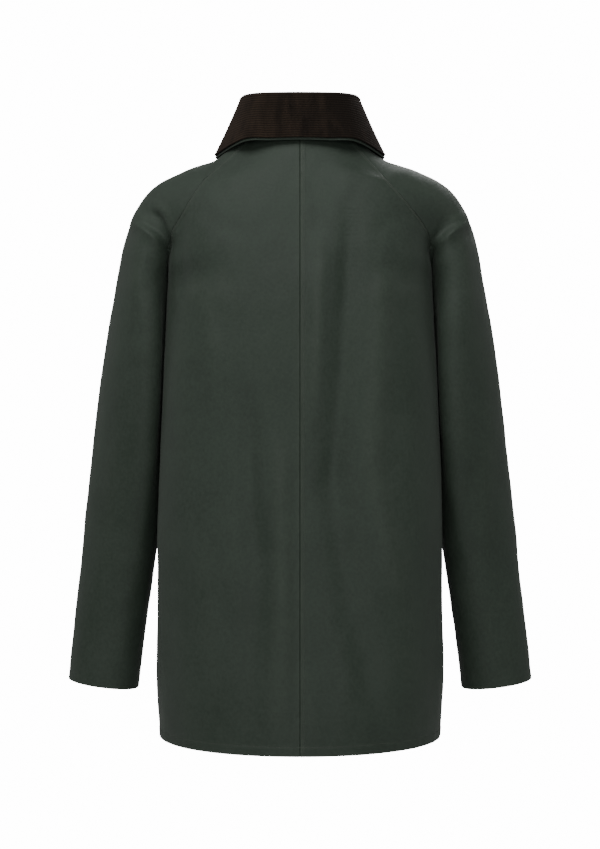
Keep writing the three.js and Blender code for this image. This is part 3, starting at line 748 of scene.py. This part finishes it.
def noise(tree, coordinates, scale, detail, roughness=0.5):
    made = node(tree, "ShaderNodeTexNoise")
    made.inputs["Scale"].default_value = scale
    made.inputs["Detail"].default_value = detail
    made.inputs["Roughness"].default_value = roughness
    tree.links.new(coordinates, made.inputs["Vector"])
    return made.outputs["Fac"]


def ranged(tree, value, low, high, new_low, new_high):
    made = node(tree, "ShaderNodeMapRange")
    for name, number in (("From Min", low), ("From Max", high),
                         ("To Min", new_low), ("To Max", new_high)):
        made.inputs[name].default_value = number
    tree.links.new(value, made.inputs["Value"])
    return made.outputs["Result"]


def arithmetic(tree, operation, first, second):
    made = node(tree, "ShaderNodeMath", operation=operation)
    for socket, value in zip(made.inputs, (first, second)):
        if isinstance(value, (int, float)):
            socket.default_value = value
        else:
            tree.links.new(value, socket)
    return made.outputs[0]


def mixed(tree, share, first, second):
    made = node(tree, "ShaderNodeMix", data_type="RGBA")
    tree.links.new(share, made.inputs["Factor"])
    for socket, colour in ((made.inputs["A"], first), (made.inputs["B"], second)):
        if isinstance(colour, tuple):
            socket.default_value = (*colour, 1)
        else:
            tree.links.new(colour, socket)
    return made.outputs["Result"]


def dress(tree, shader, specular, sheen, sheen_roughness, sheen_tint):
    """How a cloth shines, apart from its roughness."""
    for name, value in (("Specular IOR Level", specular), ("Sheen Weight", sheen),
                        ("Sheen Roughness", sheen_roughness), ("Sheen Tint", sheen_tint)):
        shader.inputs[name].default_value = value


def grained(tree, shader, grain, strength, depth):
    """Gives a cloth its fine grain, too small to be in the mesh."""
    bump = node(tree, "ShaderNodeBump")
    bump.inputs["Strength"].default_value = strength
    bump.inputs["Distance"].default_value = depth
    tree.links.new(grain, bump.inputs["Height"])
    tree.links.new(bump.outputs[0], shader.inputs["Normal"])


def waxed_cotton():
    material, tree, shader = material_named("waxed_cotton")
    place = node(tree, "ShaderNodeTexCoord").outputs["Object"]
    weave = node(tree, "ShaderNodeUVMap", uv_map="cloth").outputs["UV"]
    wear_and_highlight = node(tree, "ShaderNodeAttribute", attribute_name="wear_and_highlight").outputs["Fac"]
    blotch = noise(tree, place, 13, 5, 0.62)
    speck = noise(tree, place, 260, 3)
    tone = arithmetic(tree, "ADD", blotch, ranged(tree, speck, 0.3, 0.7, -0.2, 0.2))
    body = mixed(tree, ranged(tree, tone, 0.28, 0.72, 0, 1), COTTON_DARK, COTTON_LIGHT)
    patchy = ranged(tree, noise(tree, place, 120, 3), 0.3, 0.7, 0.35, 1.0)
    # The lightening from the mesh is worn wax, and along the fells it is also painted highlight.
    lightened = arithmetic(tree, "MULTIPLY", wear_and_highlight, patchy)
    share = node(tree, "ShaderNodeClamp")
    tree.links.new(arithmetic(tree, "MULTIPLY", lightened, 0.75), share.inputs["Value"])
    tree.links.new(mixed(tree, share.outputs[0], body, COTTON_RUBBED_AND_LIT), shader.inputs["Base Color"])
    gloss = arithmetic(tree, "ADD", ranged(tree, blotch, 0.3, 0.7, 0.56, 0.68),
                       ranged(tree, speck, 0.3, 0.7, -0.04, 0.06))
    tree.links.new(gloss, shader.inputs["Roughness"])
    dress(tree, shader, 0.30, 0.06, 0.45, SHEEN_GREEN)
    split = node(tree, "ShaderNodeSeparateXYZ")
    tree.links.new(weave, split.inputs[0])
    turns = 2 * math.pi * THREADS_PER_METRE
    threads = [arithmetic(tree, "SINE", arithmetic(tree, "MULTIPLY", split.outputs[k], turns), 0)
               for k in (0, 1)]
    woven = arithmetic(tree, "MULTIPLY", *threads)
    grain = arithmetic(tree, "ADD", arithmetic(tree, "MULTIPLY", woven, 0.35),
                       arithmetic(tree, "MULTIPLY", speck, 1.6))
    grained(tree, shader, grain, 0.35, 0.00022)
    return material


COTTON = waxed_cotton()


def wall(outer, inner):
    """Points and faces of a closed wall between an outer and an inner grid."""
    rows, columns = outer.shape[:2]
    at = np.arange(rows * columns).reshape(rows, columns)
    inside = at + rows * columns
    faces = [np.stack([at[:-1, :-1], at[1:, :-1], at[1:, 1:], at[:-1, 1:]], -1).reshape(-1, 4),
             np.stack([inside[:-1, :-1], inside[:-1, 1:], inside[1:, 1:], inside[1:, :-1]],
                      -1).reshape(-1, 4)]
    for near, far in ((at[:, 0], inside[:, 0]), (inside[:, -1], at[:, -1]),
                      (inside[0], at[0]), (at[-1], inside[-1])):
        faces.append(np.stack([near[:-1], far[:-1], far[1:], near[1:]], -1))
    return np.concatenate([outer.reshape(-1, 3), inner.reshape(-1, 3)]), np.concatenate(faces)


def facing_out(at, faces):
    """The faces, turned round if they point into the piece."""
    a, b, c, d = (at[faces[:, k]] for k in range(4))
    volume = (np.cross(b, c) * a).sum() + (np.cross(c, d) * a).sum()
    return faces if volume > 0 else faces[:, ::-1]


def cloth_object(name, panel, material):
    """The mesh of a panel, with its lightening from worn wax and painted highlight, and its own flat
    measure for the weave.
    """
    inner = panel.outer + panel.inward * panel.thick[..., None]
    at, faces = wall(panel.outer * MM, inner * MM)
    mesh = bpy.data.meshes.new(name)
    mesh.from_pydata(at.tolist(), [], facing_out(at, faces).tolist())
    wear_and_highlight = mesh.attributes.new("wear_and_highlight", "FLOAT", "POINT")
    wear_and_highlight.data.foreach_set("value", np.tile(panel.wear_and_highlight.reshape(-1), 2).astype(np.float32))
    flat = np.stack([run_across(panel.outer), panel.bottom], -1).reshape(-1, 2) * MM
    corner = np.zeros(len(mesh.loops), np.int32)
    mesh.loops.foreach_get("vertex_index", corner)
    layer = mesh.uv_layers.new(name="cloth")
    layer.data.foreach_set("uv", np.tile(flat, (2, 1))[corner].astype(np.float32).reshape(-1))
    mesh.polygons.foreach_set("use_smooth", np.ones(len(mesh.polygons), bool))
    mesh.materials.append(material)
    piece = bpy.data.objects.new(name, mesh)
    bpy.context.scene.collection.objects.link(piece)
    return piece


SIDE_NAMES = {LEFT: "left", RIGHT: "right"}
# Each cut piece becomes a cloth mesh on the root body, in place of its plain part.
for kind, panels in (("back", backs), ("front", fronts), ("sleeve_back", sleeve_backs),
                     ("sleeve_front", sleeve_fronts)):
    for side, panel in panels.items():
        node_name = f"{kind}_{SIDE_NAMES[side]}"
        piece = cloth_object(f"cloth_{node_name}", panel, COTTON)
        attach(piece, "root")
        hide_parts(node_name)

# The collar: an under collar of waxed cotton, and over it the top collar of corduroy, which
# runs from the neck seam up the inside of the stand, over the roll and down the leaf.
CORDUROY = 1.6
UNDER_COLLAR = 1.2
LAYER_GAP = 0.7        # between the two layers
COLLAR_WALL = CORDUROY + LAYER_GAP + UNDER_COLLAR
FOLD_RADIUS = 4.5      # of the roll
COLLAR_LIFT = 0.5      # above the neck seam
COLLAR_EDGE = 2.5      # how much longer the under collar's leaf is
COLLAR_COLUMNS = 120   # from the centre back to an end
# Half the collar, from the centre back to its end. share is the place along the neck seam, fold
# the top of the roll and edge the leaf's lower edge.
COLLAR = table("share foldX foldY foldZ edgeX edgeY edgeZ", [
    (0, 0, -66, 52, 0, -79, -4.3),
    (.13, 31, -63, 52.2, 36, -77, -4.8),
    (.27, 57, -47, 53.2, 69, -71, -5.4),
    (.46, 71, -8, 53.6, 103, -16, -17.3),
    (.62, 64, 30, 42, 105, 34, -18.4),
    (.80, 42, 56, 10, 88, 84, -56),
    (.97, 10, 70, -34, 46, 94, -102),
])
neck_share = np.linspace(0, 1, 40)[None]
top_row = np.array([0.0])
neck_line = np.concatenate([
    bezier(body_ends(BACK, top_row, RIGHT, BACKWARD), neck_share)[0],
    bezier(sleeve_ends(BACK, top_row, RIGHT, BACKWARD), neck_share)[0][1:],
    bezier(sleeve_ends(FRONT, top_row, RIGHT, FORWARD), neck_share)[0][-2::-1],
    bezier(body_ends(FRONT, top_row, RIGHT, FORWARD), neck_share)[0][-2::-1],
])
neck_run = run_across(neck_line[None])[0]


def collar_grid(depth, extra, stand, roll, leaf):
    """Rows of the collar from the neck seam to the leaf's edge, columns from end to end.
    depth is how far below the corduroy's face it lies, extra lengthens the leaf."""
    place = np.linspace(0, len(COLLAR["share"]) - 1, COLLAR_COLUMNS + 1)
    section = between(COLLAR, place, even=("foldY", "foldZ", "edgeY", "edgeZ"))
    fold = points(section["foldX"], section["foldY"], section["foldZ"])
    edge = points(section["edgeX"], section["edgeY"], section["edgeZ"])
    out = unit((edge - fold) * np.array([1, 1, 0]))
    centre = fold - np.array([0, 0, FOLD_RADIUS])
    radius = FOLD_RADIUS - depth
    at = np.clip(section["share"], 0, 1) * neck_run[-1]
    seam = np.stack([np.interp(at, neck_run, neck_line[:, k]) for k in range(3)], -1)
    base = seam + out * (depth - COLLAR_WALL) + np.array([0, 0, COLLAR_LIFT])
    stand_top = centre - out * radius
    leaf_top = centre + out * radius
    fall = edge - (centre + out * FOLD_RADIUS)
    leaf_out = unit(out * -fall[:, 2:] + points(0, 0, 1) * (fall * out).sum(-1, keepdims=True))
    leaf_end = edge - leaf_out * depth + unit(fall) * extra
    rows = [base + (stand_top - base) * f for f in stand]
    for f in roll:
        turn = math.pi * (1 - f)
        rows.append(centre + out * radius * math.cos(turn)
                    + np.array([0, 0, radius * math.sin(turn)]))
    rows += [leaf_top + (leaf_end - leaf_top) * f for f in leaf]
    half = np.array(rows)
    return np.concatenate([(half * np.array([-1, 1, 1]))[:, :0:-1], half], 1)


class CollarPiece:
    """A collar layer as a panel: its face, the way in and its thickness."""

    def __init__(self, outer, inner):
        self.outer = outer
        self.inward = unit(inner - outer)
        self.thick = length_of(inner - outer)[..., 0]
        self.bottom = from_bottom(outer)
        self.wear_and_highlight = np.zeros(self.bottom.shape)


STAND_ROWS = np.linspace(0, 1, 16)
ROLL_ROWS = np.linspace(0, 1, 14)[1:-1]
LEAF_ROWS = np.concatenate([np.linspace(0, 0.94, 18), [0.96, 0.98, 0.99, 1.0]])
under = CollarPiece(
    collar_grid(CORDUROY + LAYER_GAP, COLLAR_EDGE, STAND_ROWS, ROLL_ROWS, LEAF_ROWS),
    collar_grid(COLLAR_WALL, COLLAR_EDGE, STAND_ROWS, ROLL_ROWS, LEAF_ROWS))
under_piece = cloth_object("cloth_collar_under", under, COTTON)
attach(under_piece, "root")
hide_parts("collar_under")

# The top collar is corduroy with its wales, 3.15 mm apart, along the collar. Geometry nodes
# raise them from a height across the wale, 0 in a valley and 1 on a ridge, that each point of
# the plain cloth carries.
WALE_HEIGHT = 0.55
WALE_ROUNDNESS = 0.75  # under 1 makes broad wales and narrow valleys
WALE_WOBBLE = 0.07     # of a wale, as it runs along the collar
WALE_FINENESS = 6      # rows of points to a wale
STAND_WALES, ROLL_WALES, LEAF_WALES = 15, 4, 18
# The valley colour is painted shade: the valleys between the wales are painted far darker than the
# pile.
BROWN_VALLEY_SHADE = (0.0012, 0.0008, 0.0005)
BROWN_PILE = (0.0070, 0.0040, 0.0020)
# The lighter pile colour below is painted light on the collar's left side, and also worn streaks in
# the pile.
BROWN_LIT_AND_WORN = (0.0230, 0.0142, 0.0086)
SHEEN_BROWN = (0.75, 0.55, 0.45, 1)


def wale_rows(wales, start):
    count = wales * WALE_FINENESS
    return np.arange(start, count + 1) / count


def corduroy():
    material, tree, shader = material_named("corduroy")
    place = node(tree, "ShaderNodeTexCoord").outputs["Object"]
    rib = node(tree, "ShaderNodeAttribute", attribute_name="rib").outputs["Fac"]
    stretched = node(tree, "ShaderNodeMapping")
    stretched.inputs["Scale"].default_value = (1, 1, 0.22)
    tree.links.new(place, stretched.inputs["Vector"])
    streak = noise(tree, stretched.outputs[0], 70, 4, 0.6)
    pile = noise(tree, place, 900, 2)
    split = node(tree, "ShaderNodeSeparateXYZ")
    tree.links.new(place, split.inputs[0])
    # Painted light: the pile is painted lighter towards -X and darker towards +X, as if lit from the
    # left. Random streaks of worn pile are added to it.
    lit_left_and_streaked = arithmetic(tree, "ADD", ranged(tree, split.outputs[0], -0.08, 0.08, 0.45, -0.65),
                         ranged(tree, streak, 0.35, 0.68, 0, 1))
    lit_and_streaked_pile = mixed(tree, lit_left_and_streaked, BROWN_PILE, BROWN_LIT_AND_WORN)
    # Painted shade: the colour darkens from the pile down into the valleys between the wales.
    tree.links.new(mixed(tree, ranged(tree, rib, 0.1, 0.75, 0, 1), BROWN_VALLEY_SHADE, lit_and_streaked_pile),
                   shader.inputs["Base Color"])
    tree.links.new(ranged(tree, pile, 0.3, 0.7, 0.82, 0.98), shader.inputs["Roughness"])
    dress(tree, shader, 0.18, 0.05, 0.4, SHEEN_BROWN)
    grained(tree, shader, pile, 0.5, 0.0003)
    return material


def tree_named(name, inputs):
    """A geometry node tree with named inputs, and its input and output nodes."""
    tree = bpy.data.node_groups.new(name, "GeometryNodeTree")
    tree.interface.new_socket("Geometry", in_out="INPUT", socket_type="NodeSocketGeometry")
    for label, kind in inputs:
        tree.interface.new_socket(label, in_out="INPUT", socket_type=kind)
    tree.interface.new_socket("Geometry", in_out="OUTPUT", socket_type="NodeSocketGeometry")
    return tree, node(tree, "NodeGroupInput"), node(tree, "NodeGroupOutput")


def finish_tree(tree, entry, made, leave, material_input):
    """Ends a tree in Realize Instances and Set Material."""
    real = node(tree, "GeometryNodeRealizeInstances")
    dressed = node(tree, "GeometryNodeSetMaterial")
    tree.links.new(made, real.inputs[0])
    tree.links.new(real.outputs[0], dressed.inputs["Geometry"])
    tree.links.new(entry.outputs[material_input], dressed.inputs["Material"])
    tree.links.new(dressed.outputs[0], leave.inputs[0])


def grown(name, source, tree, settings):
    """A plain mesh object of what a geometry node tree makes from a source mesh."""
    carrier = bpy.data.objects.new(name + "_source", source)
    bpy.context.scene.collection.objects.link(carrier)
    modifier = carrier.modifiers.new("grow", "NODES")
    modifier.node_group = tree
    for socket in tree.interface.items_tree:
        if socket.in_out == "INPUT" and socket.name in settings:
            modifier[socket.identifier] = settings[socket.name]
    evaluated = carrier.evaluated_get(bpy.context.evaluated_depsgraph_get())
    mesh = bpy.data.meshes.new_from_object(evaluated)
    carrier.modifiers.remove(modifier)
    bpy.data.objects.remove(carrier)
    mesh.name = name
    piece = bpy.data.objects.new(name, mesh)
    bpy.context.scene.collection.objects.link(piece)
    return piece


def wale_tree():
    """Raises each point along its normal by its place across a wale."""
    tree, entry, leave = tree_named("raise_wales", [
        ("Wale height", "NodeSocketFloat"), ("Corduroy", "NodeSocketMaterial")])
    rib = node(tree, "GeometryNodeInputNamedAttribute", data_type="FLOAT")
    rib.inputs["Name"].default_value = "rib"
    normal = node(tree, "GeometryNodeInputNormal")
    height = node(tree, "ShaderNodeMath", operation="MULTIPLY")
    raised = node(tree, "ShaderNodeVectorMath", operation="SCALE")
    moved = node(tree, "GeometryNodeSetPosition")
    link = tree.links.new
    link(rib.outputs["Attribute"], height.inputs[0])
    link(entry.outputs["Wale height"], height.inputs[1])
    link(normal.outputs[0], raised.inputs[0])
    link(height.outputs[0], raised.inputs["Scale"])
    link(entry.outputs["Geometry"], moved.inputs["Geometry"])
    link(raised.outputs[0], moved.inputs["Offset"])
    finish_tree(tree, entry, moved.outputs[0], leave, "Corduroy")
    return tree


stand = wale_rows(STAND_WALES, 0)
roll = wale_rows(ROLL_WALES, 1)[:-1]
leaf = wale_rows(LEAF_WALES, 0)
face = collar_grid(0, 0, stand, roll, leaf)
lining = collar_grid(CORDUROY, 0, stand, roll, leaf)
count = np.arange(len(face)) / WALE_FINENESS
wobble = WALE_WOBBLE * rumple(face * np.array([1, 1, 0]), 26, 31)
profile = np.abs(np.sin(math.pi * (count[:, None] + wobble)))**WALE_ROUNDNESS
top_object = cloth_object("top_collar_plain", CollarPiece(face, lining), COTTON)
rib = top_object.data.attributes.new("rib", "FLOAT", "POINT")
rib.data.foreach_set("value", np.concatenate(
    [profile.reshape(-1), np.zeros(profile.size)]).astype(np.float32))
top_source = top_object.data
bpy.data.objects.remove(top_object)
top_piece = grown("corduroy_collar_top", top_source, wale_tree(), {
    "Wale height": WALE_HEIGHT * MM, "Corduroy": corduroy()})
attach(top_piece, "root")
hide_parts("collar_top")

# The topstitching: one row of polyester thread stitches on each line, sewn through the fells,
# the hem and the front edge. Each stitch is a small spindle laid along its line.
STITCH_PITCH = 3.4
STITCH_LENGTH = 2.9
THREAD_RADIUS = 0.28
THREAD_PROUD = 0.08    # how far a stitch's middle stands off the cloth
THREAD_DARK, THREAD_LIGHT = (0.030, 0.038, 0.028), (0.055, 0.064, 0.048)
HEM_STITCH = HEM_BAND - 0.5
RAGLAN_FROM, CENTRE_FROM, EDGE_FROM = 8, 14, 10  # the rows where seams come out of the collar
FRONT_EDGE_COLUMN = 8


def stitch_tree():
    """Lays one stitch at each even step along the lines that come in."""
    tree, entry, leave = tree_named("row_of_stitches", [
        ("Pitch", "NodeSocketFloat"), ("Stitch length", "NodeSocketFloat"),
        ("Thread radius", "NodeSocketFloat"), ("Thread", "NodeSocketMaterial")])
    line = node(tree, "GeometryNodeMeshToCurve")
    steps = node(tree, "GeometryNodeResampleCurve", mode="LENGTH")
    tangent = node(tree, "GeometryNodeInputTangent")
    turn = node(tree, "FunctionNodeAlignRotationToVector", axis="Z")
    spindle = node(tree, "GeometryNodeMeshUVSphere")
    for name, number in (("Segments", 6), ("Rings", 4), ("Radius", 1)):
        spindle.inputs[name].default_value = number
    half = node(tree, "ShaderNodeMath", operation="MULTIPLY")
    half.inputs[1].default_value = 0.5
    size = node(tree, "ShaderNodeCombineXYZ")
    shaped = node(tree, "GeometryNodeTransform")
    laid = node(tree, "GeometryNodeInstanceOnPoints")
    link = tree.links.new
    link(entry.outputs["Geometry"], line.inputs["Mesh"])
    link(line.outputs[0], steps.inputs["Curve"])
    link(entry.outputs["Pitch"], steps.inputs["Length"])
    link(tangent.outputs[0], turn.inputs["Vector"])
    link(entry.outputs["Stitch length"], half.inputs[0])
    link(entry.outputs["Thread radius"], size.inputs[0])
    link(entry.outputs["Thread radius"], size.inputs[1])
    link(half.outputs[0], size.inputs[2])
    link(spindle.outputs["Mesh"], shaped.inputs["Geometry"])
    link(size.outputs[0], shaped.inputs["Scale"])
    link(steps.outputs[0], laid.inputs["Points"])
    link(shaped.outputs[0], laid.inputs["Instance"])
    link(turn.outputs[0], laid.inputs["Rotation"])
    finish_tree(tree, entry, laid.outputs[0], leave, "Thread")
    return tree


def thread():
    material, tree, shader = material_named("topstitch_thread")
    place = node(tree, "ShaderNodeTexCoord").outputs["Object"]
    shade = noise(tree, place, 500, 2)
    tree.links.new(mixed(tree, ranged(tree, shade, 0.3, 0.7, 0, 1), THREAD_DARK, THREAD_LIGHT),
                   shader.inputs["Base Color"])
    shader.inputs["Roughness"].default_value = 0.5
    return material


def column_at(distance):
    return int(np.argmin(np.abs(EDGE_DISTANCES - distance)))


def column_line(panel, column, rows):
    return (panel.outer - panel.inward * THREAD_PROUD)[rows, column]


def lines_mesh(name, lines):
    at = np.concatenate(lines) * MM
    edges, first = [], 0
    for line in lines:
        edges += [(first + k, first + k + 1) for k in range(len(line) - 1)]
        first += len(line)
    mesh = bpy.data.meshes.new(name)
    mesh.from_pydata(at.tolist(), edges, [])
    return mesh


THREAD = thread()
ROW_OF_STITCHES = stitch_tree()


def stitches(name, lines):
    piece = grown(name, lines_mesh(name + "_lines", lines), ROW_OF_STITCHES, {
        "Pitch": STITCH_PITCH * MM, "Stitch length": STITCH_LENGTH * MM,
        "Thread radius": THREAD_RADIUS * MM, "Thread": THREAD})
    piece.data.polygons.foreach_set("use_smooth", np.ones(len(piece.data.polygons), bool))
    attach(piece, "root")


hem_row = len(back_places) - 1 - int(np.argmin(np.abs(HEM_DISTANCES - HEM_STITCH)))
for side in (LEFT, RIGHT):
    panels = (backs[side], fronts[side])
    lines = [column_line(panel, panel.outer.shape[1] - 1 - column_at(distance),
                         every_row[RAGLAN_FROM:armpit_row])
             for panel in panels for distance in STITCH_LINES]
    lines += [column_line(panel, slice(2, None), hem_row) for panel in panels]
    stitches(f"stitches_{SIDE_NAMES[side]}", lines)
stitches("stitches_centre_back", [
    column_line(backs[RIGHT], column_at(distance), every_row[CENTRE_FROM:])
    for distance in STITCH_LINES])
stitches("stitches_front_edge", [
    column_line(fronts[LEFT], FRONT_EDGE_COLUMN, every_row[EDGE_FROM:])])

# The press studs: six brass caps down the centre front, each spun from sheet with a rolled rim
# and a low dome, set through the upper front.
STUD_RADIUS = 7.5
STUD_HEIGHT = 2.6
STUD_CLEARANCE = 0.6
STUD_HEIGHTS = (-112, -228, -344, -460, -576, -692)
STUD_SIDES = 40
BRASS_STAINED, BRASS_BRIGHT = (0.20, 0.14, 0.07), (0.46, 0.35, 0.19)
# How far out and how high each ring of a cap lies, as shares of its radius and its height.
STUD_PROFILE = ((0.86, 0), (0.95, 0.02), (1.0, 0.18), (1.0, 0.36), (0.95, 0.52), (0.87, 0.55),
                (0.80, 0.50), (0.74, 0.56), (0.62, 0.80), (0.42, 0.94), (0.20, 1.0))


def brass():
    material, tree, shader = material_named("aged_brass")
    place = node(tree, "ShaderNodeTexCoord").outputs["Object"]
    stain = noise(tree, place, 220, 4)
    tree.links.new(mixed(tree, ranged(tree, stain, 0.35, 0.65, 0, 1), BRASS_STAINED,
                         BRASS_BRIGHT), shader.inputs["Base Color"])
    tree.links.new(ranged(tree, stain, 0.3, 0.7, 0.30, 0.52), shader.inputs["Roughness"])
    shader.inputs["Metallic"].default_value = 1
    return material


BRASS = brass()
upper_front = plain_left[0][:, 0]


def stud_seat(height):
    """Where a stud sits on the upper front, and how far the front leans there."""
    lower = int(np.argmax(upper_front[:, 2] < height))
    above, below = upper_front[lower - 1], upper_front[lower]
    f = (height - above[2]) / (below[2] - above[2])
    seat_y = above[1] + f * (below[1] - above[1]) + STUD_CLEARANCE
    return np.array([0, seat_y, height]), math.atan2(below[1] - above[1], above[2] - below[2])


def stud_mesh(name, height):
    """A cap's rings, closed by a fan of faces at the back and over the dome."""
    seat, slope = stud_seat(height)
    angles = np.arange(STUD_SIDES) * 2 * math.pi / STUD_SIDES
    rings = [(STUD_RADIUS * r * math.cos(a), STUD_HEIGHT * h, -STUD_RADIUS * r * math.sin(a))
             for r, h in STUD_PROFILE for a in angles]
    at = np.array(rings + [(0, 0, 0), (0, STUD_HEIGHT * 1.01, 0)])
    turn = np.array([(1, 0, 0), (0, math.cos(slope), -math.sin(slope)),
                     (0, math.sin(slope), math.cos(slope))])
    back, crown = len(at) - 2, len(at) - 1
    last = back - STUD_SIDES
    faces = []
    for j in range(STUD_SIDES):
        beside = (j + 1) % STUD_SIDES
        for ring in range(0, last, STUD_SIDES):
            faces.append((ring + j, ring + beside, ring + beside + STUD_SIDES, ring + j + STUD_SIDES))
        faces += [(beside, j, back), (last + j, last + beside, crown)]
    mesh = bpy.data.meshes.new(name)
    mesh.from_pydata(((at @ turn.T + seat) * MM).tolist(), [], faces)
    mesh.polygons.foreach_set("use_smooth", np.ones(len(mesh.polygons), bool))
    mesh.materials.append(BRASS)
    return mesh


for number, height in enumerate(STUD_HEIGHTS, 1):
    cap = bpy.data.objects.new(f"stud_cap_{number}", stud_mesh(f"stud_cap_{number}", height))
    bpy.context.scene.collection.objects.link(cap)
    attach(cap, "root")
    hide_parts(f"stud_{number}")
